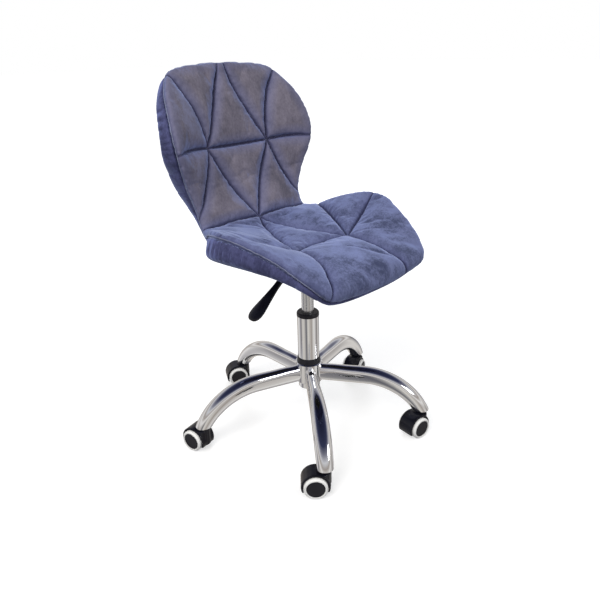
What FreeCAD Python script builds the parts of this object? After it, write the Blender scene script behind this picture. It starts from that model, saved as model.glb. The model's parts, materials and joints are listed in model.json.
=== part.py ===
"""Small armless swivel chair: quilted one-piece seat and back on a gas lift and a five-arm castor base.

Millimetres, +Z up. The origin is on the floor, under the axis of the lift column.
The chair faces -Y, and the lever is at the sitter's right, on the -X side.
"""
import FreeCAD, Part
import math
import os
import Sketcher

os.makedirs("parts", exist_ok=True)
doc = FreeCAD.newDocument("swivel_chair")
Vector = FreeCAD.Vector
X_AXIS = Vector(1, 0, 0)
Y_AXIS = Vector(0, 1, 0)
Z_AXIS = Vector(0, 0, 1)

# ---------------------------------------------------------------- driving sizes
DRIVING_SIZES = {
    # one-piece seat and back
    "seat_width": 464, "seat_height": 452, "seat_front": 193, "seat_wing_rise": 62,
    "front_lip_width": 214, "crease_width": 312, "crease_back": 151, "crease_height": 486,
    "back_height": 330, "back_lean": 116, "back_width": 394, "back_wing_rise": 51, "top_width": 240,
    "shell_depth": 46, "edge_depth": 32, "rim_depth": 10, "pad_depth": 24, "pad_edge_depth": 6,
    "board_depth": 10, "board_inset": 12, "layer_gap": 0.3,
    # plate, channel and fixings under the seat
    "plate_width": 150, "plate_length": 170, "plate_depth": 3, "bolt_pitch_x": 120, "bolt_pitch_y": 130,
    "bolt_radius": 3, "bolt_head_radius": 6.5, "bolt_head_depth": 3.5, "nut_flange_radius": 9,
    "nut_flange_depth": 1.5, "nut_barrel_radius": 4.2, "nut_barrel_depth": 8,
    "channel_width": 64, "channel_length": 110, "channel_depth": 45, "channel_wall": 2.5,
    "socket_radius": 20, "socket_reach": 15, "socket_depth": 40,
    # lever and release pin
    "lever_drop": 13.5, "lever_radius": 4.5, "lever_pivot_out": 38, "lever_inner_reach": 7,
    "lever_bend_out": 70, "lever_slope": 36, "lever_bent_length": 48, "lever_pin_radius": 2,
    "lug_gap": 10, "lug_wall": 2.5, "lug_reach": 13, "lever_slot_height": 15,
    "grip_length": 112, "grip_width": 36, "grip_depth": 11,
    "release_radius": 4, "release_gap": 0.3,
    # gas lift
    "cylinder_radius": 14, "cylinder_wall": 1.5, "cylinder_top_radius": 13.3, "cylinder_bottom": 190,
    "cylinder_cap": 11, "gland_depth": 15, "rod_radius": 5, "rod_foot_radius": 4, "piston_bottom": 285,
    "piston_depth": 15, "running_gap": 0.05,
    "column_radius": 25, "column_wall": 2, "column_bottom": 100, "column_top": 281, "column_foot": 4,
    "bush_collar_radius": 25.7, "bush_collar_depth": 10, "bush_depth": 60,
    "bearing_radius": 14, "bearing_washer": 1.5, "bearing_ball": 2.5, "bearing_balls": 10,
    "buffer_radius": 11, "buffer_depth": 18, "clip_radius": 9, "clip_depth": 1.5, "rod_foot_reach": 4,
    # star base
    "hub_radius": 32, "hub_bottom": 115, "hub_depth": 50, "ring_depth": 12, "ring_foot_radius": 28,
    "ring_top_radius": 26, "arm_count": 5, "arm_reach": 264, "arm_height": 137, "arm_wall": 2,
    "arm_root_width": 28, "arm_wide_width": 39, "arm_tip_width": 35, "arm_root_depth": 41,
    "arm_tip_depth": 32, "arm_tip_height": 60, "arm_end_slope": 60, "first_arm_angle": -129.2,
    "stem_radius": 5.5, "stem_socket_wall": 3, "stem_top": 76, "stem_bottom": 38,
    # castors
    "wheel_radius": 25, "wheel_outer": 26, "wheel_inner": 8.5, "tyre_depth": 5.5, "tyre_lip": 1.2,
    "castor_trail": 20, "axle_radius": 3, "hood_wall": 3.5, "hood_gap": 2, "hood_half_width": 20,
    "hood_web": 7.5, "hood_skirt": 14, "hood_edge": 2.5, "neck_radius": 13, "neck_top": 58,
}
sheet = doc.addObject("Spreadsheet::Sheet", "Sizes")
for row, (name, number) in enumerate(DRIVING_SIZES.items(), start=1):
    sheet.set("A%d" % row, name)
    sheet.set("B%d" % row, str(number))
    sheet.setAlias("B%d" % row, name)
doc.recompute()


def size(name):
    """A driving size, read from the sheet."""
    return float(sheet.get(name))


def spell(expression):
    """Turn bare size names in an expression into references to the sheet."""
    text = expression
    for name in sorted(DRIVING_SIZES, key=len, reverse=True):
        text = replace_word(text, name)
    return text


def replace_word(text, name):
    """Put the sheet's name before each whole-word use of a size."""
    pieces = []
    word = ""
    for letter in text + " ":
        if letter.isalnum() or letter in "_.":
            word += letter
            continue
        pieces.append("Sizes." + name if word == name else word)
        pieces.append(letter)
        word = ""
    return "".join(pieces).strip()


def bind(item, **expressions):
    """Bind properties of an object to expressions of the driving sizes."""
    for target, expression in expressions.items():
        item.setExpression(target.replace("__", "."), spell(expression))
    return item


# ---------------------------------------------------------------- makers
finished = []


def keep(item, label, placement=None):
    """Give a finished sub-part its label, which names its file, and its place."""
    item.Label = label
    if placement is not None:
        item.Placement = placement
    finished.append(item)
    return item


def cylinder(name, radius, height, bottom="0", x="0", y="0"):
    """An upright Part cylinder."""
    item = doc.addObject("Part::Cylinder", name)
    bind(item, Radius=radius, Height=height, Placement__Base__x=x, Placement__Base__y=y,
         Placement__Base__z=bottom)
    return item


def box(name, width, length, height, x, y, bottom):
    """A Part box centred on x and y, standing on bottom."""
    item = doc.addObject("Part::Box", name)
    bind(item, Length=width, Width=length, Height=height, Placement__Base__z=bottom,
         Placement__Base__x="(%s) - (%s) / 2" % (x, width), Placement__Base__y="(%s) - (%s) / 2" % (y, length))
    return item


def cut(name, base, tools):
    """The base with every tool taken out of it."""
    for number, tool in enumerate(tools, start=1):
        item = doc.addObject("Part::Cut", "%s_cut_%d" % (name, number))
        item.Base = base
        item.Tool = tool
        base = item
    return base


def fuse(name, pieces):
    """All the pieces as one solid."""
    item = doc.addObject("Part::MultiFuse", name)
    item.Shapes = pieces
    item.Refine = True
    return item


def origin_plane(body, role):
    """One of the body's own origin planes."""
    return [feature for feature in body.Origin.OriginFeatures if feature.Role == role][0]


def polygon_sketch(body, name, role, corners):
    """A closed sketch of straight lines whose corners are bound to the sheet, corner by corner."""
    sketch = body.newObject("Sketcher::SketchObject", name)
    sketch.AttachmentSupport = [(origin_plane(body, role), "")]
    sketch.MapMode = "FlatFace"
    points = [Vector(measure(across), measure(along), 0) for across, along in corners]
    for number, point in enumerate(points):
        after = points[(number + 1) % len(points)]
        sketch.addGeometry(Part.LineSegment(point, after), False)
    for number in range(len(points)):
        before = (number - 1) % len(points)
        sketch.addConstraint(Sketcher.Constraint("Coincident", before, 2, number, 1))
    for number, (across, along) in enumerate(corners):
        for kind, expression, value in (("DistanceX", across, points[number].x),
                                        ("DistanceY", along, points[number].y)):
            index = sketch.addConstraint(Sketcher.Constraint(kind, number, 1, value))
            sketch.setExpression("Constraints[%d]" % index, spell(expression))
    return sketch


def measure(expression):
    """The number that an expression of driving sizes gives now."""
    return float(sheet.evalExpression(spell(expression).replace("Sizes.", "")))


def turned(label, corners, placement=None):
    """A body turned about Z from a half profile of (radius, height) corners."""
    body = doc.addObject("PartDesign::Body", label + "_body")
    sketch = polygon_sketch(body, label + "_profile", "XZ_Plane", corners)
    revolution = body.newObject("PartDesign::Revolution", label + "_turned")
    revolution.Profile = sketch
    revolution.ReferenceAxis = (sketch, ["V_Axis"])
    revolution.Angle = 360
    body.Tip = revolution
    doc.recompute()
    return keep(body, label, placement)


def tube_corners(inner, outer, bottom, top):
    """The half profile of a plain tube."""
    return [(inner, bottom), (outer, bottom), (outer, top), (inner, top)]


def solid_feature(name, shape):
    """A document object holding a shape made with Part's own functions."""
    item = doc.addObject("Part::Feature", name)
    item.Shape = shape
    return item


def turn_about_z(degrees, base=Vector(0, 0, 0)):
    """A placement turned about the upright axis."""
    return FreeCAD.Placement(base, FreeCAD.Rotation(Z_AXIS, degrees))


LOFT_DEGREE = 3            # highest degree of a smooth loft
OVAL_STEPS = 16            # points round an oval section
OVAL_POWER = 2.3           # 2 is an ellipse; a little more flattens its top and sides


def oval_wire(centre, across, upright, half_width, half_depth):
    """A smooth closed oval, starting at its side, so that lofts through such ovals don't twist."""
    points = []
    for step in range(OVAL_STEPS):
        turn = 2 * math.pi * step / OVAL_STEPS
        reach = [math.copysign(abs(part) ** (2 / OVAL_POWER), part) for part in (math.cos(turn), math.sin(turn))]
        points.append(centre + across * (reach[0] * half_width) + upright * (reach[1] * half_depth))
    curve = Part.BSplineCurve()
    curve.interpolate(points, PeriodicFlag=True)
    return Part.Wire([curve.toShape()])


# ---------------------------------------------------------------- one-piece seat and back
CURVE_POWER = 2.2          # how suddenly the wings turn up towards the edges
SECTION_STEPS = 8          # spans across one section
THIN_SHARE = 0.5           # share of the pad's extra depth that is left where the layers thin out


def shell_sections():
    """Sections across the seat and back, from the front lip to the top of the back.

    Each has its centre (y, z), half width, wing rise, the angle of its depth direction away
    from straight down, and how much of the full depth it has.
    """
    half_seat = size("seat_width") / 2
    half_back = size("back_width") / 2
    half_crease = size("crease_width") / 2
    front = -size("seat_front")
    level = size("seat_height")
    seat_rise = size("seat_wing_rise")
    back_rise = size("back_wing_rise")
    crease_y = size("crease_back")
    crease_z = size("crease_height")
    run = crease_y - front
    tall = size("back_height")
    lean = size("back_lean")
    return [
        # centre y, centre z, half width, rise, depth angle, depth share
        (front, level - 52, size("front_lip_width") / 2, -8, 0, 0.0),
        (front + 3, level - 30, 0.64 * half_seat, -4, 0, 0.65),
        (front + 0.09 * run, level - 12, 0.77 * half_seat, 0.18 * seat_rise, 0, 1.0),
        (front + 0.235 * run, level - 3, 0.87 * half_seat, 0.55 * seat_rise, 4, 1.0),
        (front + 0.415 * run, level - 2, 0.975 * half_seat, 0.97 * seat_rise, 2, 1.0),
        (front + 0.625 * run, level + 2, half_seat, seat_rise, 4, 1.05),
        (front + 0.80 * run, level + 8, 0.88 * half_seat, 0.65 * seat_rise, 14, 1.1),
        (front + 0.933 * run, level + 18, 0.74 * half_seat, 0.15 * seat_rise, 32, 1.15),
        (crease_y, crease_z, half_crease, -13, 48, 1.15),
        (crease_y + 0.215 * lean, crease_z + 0.10 * tall, 0.98 * half_crease, -6, 60, 1.1),
        (crease_y + 0.43 * lean, crease_z + 0.25 * tall, 0.87 * half_back, 0.33 * back_rise, 68, 1.0),
        (crease_y + 0.60 * lean, crease_z + 0.476 * tall, half_back, back_rise, 75, 0.95),
        (crease_y + 0.76 * lean, crease_z + 0.688 * tall, 0.97 * half_back, 0.88 * back_rise, 75, 0.85),
        (crease_y + 0.905 * lean, crease_z + 0.858 * tall, 0.85 * half_back, 0.41 * back_rise, 75, 0.6),
        (crease_y + lean, crease_z + tall, size("top_width") / 2, -5, 74, 0.0),
    ]


def full_depth(share, across):
    """Depth of seat and back together, from the quilted face to the outer cover, at one place."""
    rim = size("rim_depth")
    middle = rim + (size("shell_depth") - rim) * share
    edge = rim + (size("edge_depth") - rim) * share
    return edge + (middle - edge) * (1 - across ** 2)


def pad_layer(share, across):
    """Depth of the quilted pad, thinner at the edges than in the middle."""
    thin = size("pad_edge_depth")
    fullness = THIN_SHARE + (1 - THIN_SHARE) * share if share else 0
    middle = thin + (size("pad_depth") - thin) * fullness
    return thin + (middle - thin) * (1 - across ** 2)


def section_wire(section, front_depth, rear_depth, inset):
    """One closed section between two depths, set in from both edges."""
    centre_y, centre_z, half_width, rise, angle, share = section
    down = Vector(0, math.sin(math.radians(angle)), -math.cos(math.radians(angle)))
    reach = 1 - inset / half_width

    def place(across, depth):
        lift = rise * abs(across) ** CURVE_POWER
        return Vector(across * half_width, centre_y, centre_z) + down * (depth - lift)

    spread = [reach * (2 * step / SECTION_STEPS - 1) for step in range(SECTION_STEPS + 1)]
    front = [place(across, front_depth(share, across)) for across in spread]
    rear = [place(across, rear_depth(share, across)) for across in reversed(spread)]
    front_curve = Part.BSplineCurve()
    front_curve.interpolate(front)
    rear_curve = Part.BSplineCurve()
    rear_curve.interpolate(rear)
    sides = [Part.makeLine(front[-1], rear[0]), Part.makeLine(rear[-1], front[0])]
    return Part.Wire([front_curve.toShape(), sides[0], rear_curve.toShape(), sides[1]])


def layer(sections, front_depth, rear_depth, inset=0.0):
    """A solid layer of the seat and back through its sections."""
    wires = [section_wire(section, front_depth, rear_depth, inset) for section in sections]
    return Part.makeLoft(wires, True, True)


def board_front(extra):
    """Depth of the shell board's front face, less a clearance."""
    return lambda share, across: pad_layer(share, across) + size("layer_gap") - extra


def board_rear(extra):
    """Depth of the shell board's rear face, plus a clearance."""
    return lambda share, across: pad_layer(share, across) + size("layer_gap") + size("board_depth") + extra


def bolt_places():
    """Where the four seat bolts stand."""
    half_x = size("bolt_pitch_x") / 2
    half_y = size("bolt_pitch_y") / 2
    return [Vector(x, y, 0) for x in (-half_x, half_x) for y in (-half_y, half_y)]


def plate_top():
    """Height of the flat underside that the mechanism plate is bolted to."""
    return size("seat_height") - size("shell_depth") + 2


def board_top_at(spot):
    """Height of the shell board's top face above a bolt."""
    across = spot.x / (0.975 * size("seat_width") / 2)
    rise = size("seat_wing_rise") * abs(across) ** CURVE_POWER
    return size("seat_height") - 2 + rise - pad_layer(1.0, across) - size("layer_gap")


def nut_shape(spot, extra):
    """A threaded insert: a flange sunk in the board's top face, and a barrel below it."""
    top = board_top_at(spot) - size("nut_flange_depth")
    flange = Part.makeCylinder(size("nut_flange_radius") + extra, size("nut_flange_depth") + extra,
                               Vector(spot.x, spot.y, top - size("nut_flange_depth") - extra / 2))
    barrel = Part.makeCylinder(size("nut_barrel_radius") + extra, size("nut_barrel_depth"),
                               Vector(spot.x, spot.y, top - size("nut_flange_depth") - size("nut_barrel_depth")))
    return flange.fuse(barrel)


def bolt_shape(spot, extra):
    """A seat bolt from below the plate up into its threaded insert."""
    low = plate_top() - size("plate_depth")
    high = board_top_at(spot) - size("nut_flange_depth")
    shank = Part.makeCylinder(size("bolt_radius") + extra, high - low, Vector(spot.x, spot.y, low))
    head = Part.makeCylinder(size("bolt_head_radius"), size("bolt_head_depth"),
                             Vector(spot.x, spot.y, low - size("bolt_head_depth")))
    return shank.fuse(head).removeSplitter()


def drill(radius, low, high):
    """One upright cylinder at each bolt place."""
    return [Part.makeCylinder(radius, high - low, Vector(spot.x, spot.y, low)) for spot in bolt_places()]


def make_seat_and_back():
    """Quilted pad, shell board and outer cover, with the bolts and inserts that hold them."""
    sections = shell_sections()
    board_sections = sections[2:-1]
    gap = size("layer_gap")
    under = plate_top()
    nut_room = [nut_shape(spot, gap) for spot in bolt_places()]
    barrel_room = drill(size("nut_barrel_radius") + gap, under - 1, under + size("shell_depth"))

    pad = layer(sections, lambda share, across: 0, pad_layer)
    keep(solid_feature("quilted_pad", pad.cut(nut_room)), "seat_pad")

    board = layer(board_sections, board_front(0), board_rear(0), size("board_inset"))
    board = board.cut(barrel_room + nut_room)
    keep(solid_feature("moulded_board", board), "shell_board")

    half_width = size("plate_width") / 2
    half_length = size("plate_length") / 2
    land = Part.makeBox(2 * half_width, 2 * half_length, size("shell_depth") / 4,
                        Vector(-half_width, -half_length, under))
    below = Part.makeBox(size("seat_width"), 2 * half_length, size("shell_depth"),
                         Vector(-size("seat_width") / 2, -half_length, under - size("shell_depth")))
    pocket = layer(board_sections, board_front(gap), board_rear(gap), size("board_inset") - gap)
    cover = layer(sections, board_front(0), full_depth)
    cover = cover.fuse(land).cut([below, pocket] + barrel_room + nut_room)
    keep(solid_feature("rear_cover", cover), "outer_cover")

    bolts = [bolt_shape(spot, 0) for spot in bolt_places()]
    nuts = [nut_shape(spot, 0).cut(bolt) for spot, bolt in zip(bolt_places(), bolts)]
    keep(solid_feature("inserts", Part.makeCompound(nuts)), "t_nuts")
    keep(solid_feature("seat_bolts", Part.makeCompound(bolts)), "plate_bolts")


# ---------------------------------------------------------------- plate, channel and taper socket
def extruded(label, role, corners, height, offset, placement=None):
    """A body padded from a straight-sided outline, starting at an offset from its sketch plane."""
    body = doc.addObject("PartDesign::Body", label + "_body")
    sketch = polygon_sketch(body, label + "_outline", role, corners)
    bind(sketch, AttachmentOffset__Base__z=offset)
    pad = body.newObject("PartDesign::Pad", label + "_pad")
    pad.Profile = sketch
    bind(pad, Length=height)
    body.Tip = pad
    doc.recompute()
    return body


def rectangle(width, length):
    """The corners of a centred rectangle."""
    half_x = "(%s) / 2" % width
    half_y = "(%s) / 2" % length
    return [("-" + half_x, "-" + half_y), (half_x, "-" + half_y), (half_x, half_y), ("-" + half_x, half_y)]


PLATE_TOP = "seat_height - shell_depth + 2"
PLATE_FOOT = PLATE_TOP + " - plate_depth"
CHANNEL_FOOT = PLATE_FOOT + " - channel_depth"
LEVER_HEIGHT = PLATE_TOP + " - lever_drop"
SOCKET_TOP = CHANNEL_FOOT + " - socket_reach + socket_depth"


def round_sketch(body, name, radius, x, y, offset):
    """A circle sketched on the body's XY plane, bound to the sheet."""
    sketch = body.newObject("Sketcher::SketchObject", name)
    sketch.AttachmentSupport = [(origin_plane(body, "XY_Plane"), "")]
    sketch.MapMode = "FlatFace"
    bind(sketch, AttachmentOffset__Base__z=offset)
    centre = Vector(measure(x), measure(y), 0)
    sketch.addGeometry(Part.Circle(centre, Z_AXIS, measure(radius)), False)
    for kind, expression, value in (("DistanceX", x, centre.x), ("DistanceY", y, centre.y)):
        index = sketch.addConstraint(Sketcher.Constraint(kind, 0, 3, value))
        sketch.setExpression("Constraints[%d]" % index, spell(expression))
    index = sketch.addConstraint(Sketcher.Constraint("Radius", 0, measure(radius)))
    sketch.setExpression("Constraints[%d]" % index, spell(radius))
    return sketch


def pocket_round(body, name, radius, x, y, offset, depth):
    """A round hole cut downwards from an offset above the body's XY plane."""
    before = body.Tip.Shape.Volume
    sketch = round_sketch(body, name + "_circle", radius, x, y, offset)
    pocket = body.newObject("PartDesign::Pocket", name)
    pocket.Profile = sketch
    bind(pocket, Length=depth)
    body.Tip = pocket
    doc.recompute()
    if pocket.Shape.Volume >= before:
        raise RuntimeError("the hole " + name + " cuts nothing")
    return pocket


def make_mechanism():
    """The plate bolted to the seat, the channel welded below it, and the socket for the cylinder."""
    plate = extruded("mechanism_plate", "XY_Plane", rectangle("plate_width", "plate_length"),
                     "plate_depth", PLATE_FOOT)
    for number, (side_x, side_y) in enumerate(((-1, -1), (-1, 1), (1, -1), (1, 1)), start=1):
        pocket_round(plate, "bolt_hole_%d" % number, "bolt_radius + layer_gap", "%d * bolt_pitch_x / 2" % side_x,
                     "%d * bolt_pitch_y / 2" % side_y, PLATE_TOP, "plate_depth")
    keep(plate, "mechanism_plate")

    channel = box("channel_block", "channel_width", "channel_length", "channel_depth", "0", "0", CHANNEL_FOOT)
    inside = box("channel_inside", "channel_width - 2 * channel_wall", "channel_length - 2 * channel_wall",
                 "channel_depth", "0", "0", CHANNEL_FOOT + " + channel_wall")
    hole = cylinder("channel_hole", "socket_radius", "channel_wall * 2", CHANNEL_FOOT + " - channel_wall / 2")
    slot = box("lever_slot", "channel_wall * 3", "lug_gap", "lever_slot_height", "-channel_width / 2", "0",
               LEVER_HEIGHT + " - lever_slot_height / 2")
    lug_block = box("lug_block", "lug_reach", "lug_gap + 2 * lug_wall", "lever_slot_height",
                    "-channel_width / 2 - lug_reach / 2", "0", LEVER_HEIGHT + " - lever_slot_height / 2")
    lug_gap = box("lug_space", "lug_reach * 2", "lug_gap", "lever_slot_height * 2",
                  "-channel_width / 2 - lug_reach", "0", LEVER_HEIGHT + " - lever_slot_height")
    pin_hole = lever_pin_cylinder("lug_pin_hole")
    shell = cut("channel", channel, [inside, hole])
    keep(cut("channel_and_lugs", fuse("channel_body", [shell, lug_block]), [lug_gap, slot, pin_hole]),
         "mechanism_channel")

    outside = cylinder("socket_outside", "socket_radius", "socket_depth", CHANNEL_FOOT + " - socket_reach")
    taper = doc.addObject("Part::Cone", "socket_taper")
    bind(taper, Radius1="cylinder_radius", Radius2="cylinder_top_radius", Height="socket_depth",
         Placement__Base__z=CHANNEL_FOOT + " - socket_reach")
    keep(cut("socket", outside, [taper]), "taper_socket")


# ---------------------------------------------------------------- lever and release pin
def lever_pin_cylinder(name):
    """The lever's pivot pin, along the chair's front-back line."""
    pin = doc.addObject("Part::Cylinder", name)
    pin.Placement.Rotation = FreeCAD.Rotation(X_AXIS, -90)
    bind(pin, Radius="lever_pin_radius", Height="lug_gap + 2 * lug_wall", Placement__Base__x="-lever_pivot_out",
         Placement__Base__y="-lug_gap / 2 - lug_wall", Placement__Base__z=LEVER_HEIGHT)
    return pin


def slope_direction():
    """The way the bent part of the lever points, out to the side and down."""
    slope = math.radians(size("lever_slope"))
    return Vector(-math.cos(slope), 0, -math.sin(slope))


def bend_point():
    """Where the lever turns down, clear of the seat."""
    return Vector(-size("lever_bend_out"), 0, measure(LEVER_HEIGHT))


GRIP_SECTIONS = [
    # place along the grip, share of its width, share of its depth
    (0.0, 0.40, 1.20), (0.25, 0.44, 1.15), (0.50, 0.70, 1.10), (0.72, 0.96, 1.0),
    (0.85, 1.0, 0.95), (0.93, 0.86, 0.85), (0.98, 0.58, 0.65), (1.0, 0.24, 0.35),
]


def make_lever():
    """A bent steel rod on a cross pin, a flat plastic paddle, and the release pin it presses."""
    radius = size("lever_radius")
    height = measure(LEVER_HEIGHT)
    inner_end = Vector(size("lever_inner_reach"), 0, height)
    straight = Part.makeCylinder(radius, inner_end.x + size("lever_bend_out"), inner_end, Vector(-1, 0, 0))
    bent = Part.makeCylinder(radius, size("lever_bent_length"), bend_point(), slope_direction())
    elbow = Part.makeSphere(radius, bend_point())
    pin_room = Part.makeCylinder(size("lever_pin_radius") + size("running_gap"), 4 * radius,
                                 Vector(-size("lever_pivot_out"), -2 * radius, height), Y_AXIS)
    rod = straight.fuse([bent, elbow]).removeSplitter().cut(pin_room)
    keep(solid_feature("bent_rod", rod), "lever_rod")

    keep(lever_pin_cylinder("pivot_pin"), "lever_pin")

    start = bend_point() + slope_direction() * 8
    upright = slope_direction().cross(Y_AXIS)
    wires = []
    for along, broad, thick in GRIP_SECTIONS:
        centre = start + slope_direction() * (along * size("grip_length"))
        wires.append(oval_wire(centre, Y_AXIS, upright, broad * size("grip_width") / 2, thick * size("grip_depth") / 2))
    grip = Part.makeLoft(wires, True, False, False, LOFT_DEGREE).cut(bent)
    keep(solid_feature("paddle", grip), "lever_grip")

    pin_top = LEVER_HEIGHT + " - lever_radius - release_gap"
    release = cylinder("release_rod", "release_radius",
                       "(%s) - (%s - cylinder_cap)" % (pin_top, SOCKET_TOP), SOCKET_TOP + " - cylinder_cap")
    keep(release, "release_pin")


# ---------------------------------------------------------------- gas lift
def make_gas_lift():
    """Outer column, bush, bearing and buffer, with the piston rod and the sliding gas cylinder."""
    inner = "cylinder_radius - cylinder_wall"
    low = "cylinder_bottom"
    high = SOCKET_TOP
    turned("gas_cylinder", [
        (inner, low), ("cylinder_radius", low), ("cylinder_radius", CHANNEL_FOOT + " - socket_reach"),
        ("cylinder_top_radius", high), ("release_radius + running_gap", high),
        ("release_radius + running_gap", high + " - cylinder_cap"), (inner, high + " - cylinder_cap")])
    turned("cylinder_gland", tube_corners("rod_radius + running_gap", inner, low, low + " + gland_depth"))

    turned("piston_head", [
        ("rod_radius", "piston_bottom"), (inner + " - running_gap", "piston_bottom"),
        (inner + " - running_gap", "piston_bottom + piston_depth"), ("rod_radius", "piston_bottom + piston_depth")])
    bearing_top = "column_bottom + column_foot + 2 * bearing_washer + 2 * bearing_ball"
    turned("piston_rod", [
        ("0", "column_bottom - rod_foot_reach"), ("rod_foot_radius", "column_bottom - rod_foot_reach"),
        ("rod_foot_radius", bearing_top), ("rod_radius", bearing_top),
        ("rod_radius", "piston_bottom + piston_depth"), ("0", "piston_bottom + piston_depth")])
    turned("retaining_clip", tube_corners(
        "rod_foot_radius", "clip_radius", "column_bottom - layer_gap - clip_depth", "column_bottom - layer_gap"))

    bore = "column_radius - column_wall"
    turned("outer_column", [
        ("rod_foot_radius + running_gap", "column_bottom"), ("column_radius", "column_bottom"),
        ("column_radius", "column_top"), (bore, "column_top"), (bore, "column_bottom + column_foot"),
        ("rod_foot_radius + running_gap", "column_bottom + column_foot")])
    turned("guide_bush", [
        ("cylinder_radius + running_gap", "column_top - bush_depth"), (bore, "column_top - bush_depth"),
        (bore, "column_top"), ("bush_collar_radius", "column_top"),
        ("bush_collar_radius", "column_top + 0.7 * bush_collar_depth"),
        ("bush_collar_radius - 2", "column_top + bush_collar_depth"),
        ("cylinder_radius + running_gap", "column_top + bush_collar_depth")])
    make_bearing()
    turned("rubber_buffer", tube_corners(
        "rod_radius", "buffer_radius", bearing_top + " + layer_gap",
        bearing_top + " + layer_gap + buffer_depth"))


def make_bearing():
    """Two washers and a ring of balls that carry the rod's end, so that the seat turns."""
    floor = size("column_bottom") + size("column_foot")
    bore = size("rod_foot_radius") + size("running_gap")
    ball = size("bearing_ball")
    middle = (bore + size("bearing_radius")) / 2
    pieces = []
    for bottom in (floor, floor + size("bearing_washer") + 2 * ball):
        disc = Part.makeCylinder(size("bearing_radius"), size("bearing_washer"), Vector(0, 0, bottom))
        pieces.append(disc.cut(Part.makeCylinder(bore, size("bearing_washer"), Vector(0, 0, bottom))))
    count = int(size("bearing_balls"))
    for number in range(count):
        turn = 2 * math.pi * number / count
        centre = Vector(middle * math.cos(turn), middle * math.sin(turn), floor + size("bearing_washer") + ball)
        pieces.append(Part.makeSphere(ball, centre))
    keep(solid_feature("bearing_pieces", Part.makeCompound(pieces)), "thrust_bearing")


# ---------------------------------------------------------------- star base
STRAIGHT_SECTIONS = 4      # sections along the level run of an arm
BEND_SECTIONS = 8          # sections along its bend down to the tip
SOLID_SECTIONS = 4         # sections at the tip end that have no hollow in them
SWELL_PLACE = 2.2          # how far out the widest part of an arm lies
SWELL_POWER = 0.8          # how broad that widest part is
THINNING_POWER = 1.2       # how late in the bend an arm gets thinner


def arm_sections(extra):
    """Oval sections along one arm: reach, height, slope, half width and half depth.

    The arm runs level out of the hub, then bends down along an arc to its tip, widening to
    the middle of the bend and narrowing again to the tip.
    """
    reach = size("arm_reach")
    level = size("arm_height")
    end_slope = math.radians(size("arm_end_slope"))
    radius = (level - size("arm_tip_height")) / (1 - math.cos(end_slope))
    bend_start = reach - radius * math.sin(end_slope)
    start = size("column_radius")
    rows = []
    for step in range(STRAIGHT_SECTIONS):
        out = start + (bend_start - start) * step / STRAIGHT_SECTIONS
        rows.append((out, level, 0.0, 0.0))
    for step in range(BEND_SECTIONS + 1):
        share = step / (BEND_SECTIONS - 1)
        slope = end_slope * share
        rows.append((bend_start + radius * math.sin(slope), level - radius * (1 - math.cos(slope)), slope, share))
    sections = []
    for out, height, slope, share in rows:
        root_to_tip = min(1.0, (out - start) / (reach - start))
        swell = max(0.0, math.sin(math.pi * root_to_tip ** SWELL_PLACE)) ** SWELL_POWER
        width = size("arm_root_width") + (size("arm_tip_width") - size("arm_root_width")) * root_to_tip
        width += (size("arm_wide_width") - size("arm_tip_width")) * swell
        depth = size("arm_root_depth") + (size("arm_tip_depth") - size("arm_root_depth")) * share ** THINNING_POWER
        sections.append((out, height, math.degrees(slope), width / 2 - extra, depth / 2 - extra))
    return sections


def arm_loft(sections):
    """A smooth solid through oval sections along the arm, which points along +X."""
    wires = []
    for out, height, slope, half_width, half_depth in sections:
        along = Vector(math.cos(math.radians(slope)), 0, -math.sin(math.radians(slope)))
        wires.append(oval_wire(Vector(out, 0, height), Y_AXIS, along.cross(Y_AXIS), half_width, half_depth))
    return Part.makeLoft(wires, True, False, False, LOFT_DEGREE)


def arm_shape():
    """One hollow chromed arm, cut to the hub, level at its tip, and bored for its stem socket."""
    outer = arm_loft(arm_sections(0))
    hollow_rows = arm_sections(size("arm_wall"))[:-SOLID_SECTIONS]
    hollow = arm_loft(hollow_rows)
    hub_room = Part.makeCylinder(size("hub_radius"), size("hub_depth") * 2,
                                 Vector(0, 0, size("hub_bottom") - size("hub_depth") / 2))
    below = Part.makeBox(size("arm_reach"), size("arm_wide_width") * 2, size("arm_tip_height"),
                         Vector(size("arm_reach") / 2, -size("arm_wide_width"), 0))
    socket_radius = size("stem_radius") + size("running_gap") + size("stem_socket_wall")
    socket_room = Part.makeCylinder(socket_radius, size("stem_top") - size("arm_tip_height") + 2,
                                    Vector(size("arm_reach"), 0, size("arm_tip_height") - 1))
    return outer.cut([hollow, hub_room, below, socket_room])


def arm_angles():
    """The direction of each arm."""
    count = int(size("arm_count"))
    return [size("first_arm_angle") + number * 360 / count for number in range(count)]


def make_base():
    """Hub, dust ring, five arms and the stem sockets in their tips."""
    turned("base_hub", [
        ("column_radius", "hub_bottom"), ("hub_radius - 2", "hub_bottom"), ("hub_radius", "hub_bottom + 2"),
        ("hub_radius", "hub_bottom + hub_depth - 2"), ("hub_radius - 2", "hub_bottom + hub_depth"),
        ("column_radius", "hub_bottom + hub_depth")])
    turned("hub_ring", [
        ("column_radius", "hub_bottom + hub_depth"), ("ring_foot_radius", "hub_bottom + hub_depth"),
        ("ring_top_radius", "hub_bottom + hub_depth + ring_depth"),
        ("column_radius", "hub_bottom + hub_depth + ring_depth")])
    one_arm = arm_shape()
    sockets = []
    for number, angle in enumerate(arm_angles(), start=1):
        item = solid_feature("arm_tube_%d" % number, one_arm)
        keep(item, "base_arm_%d" % number, turn_about_z(angle))
        direction = math.radians(angle)
        spot = Vector(size("arm_reach") * math.cos(direction), size("arm_reach") * math.sin(direction), 0)
        sockets.append(stem_socket(spot))
    keep(solid_feature("sockets", Part.makeCompound(sockets)), "stem_sockets")


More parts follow.
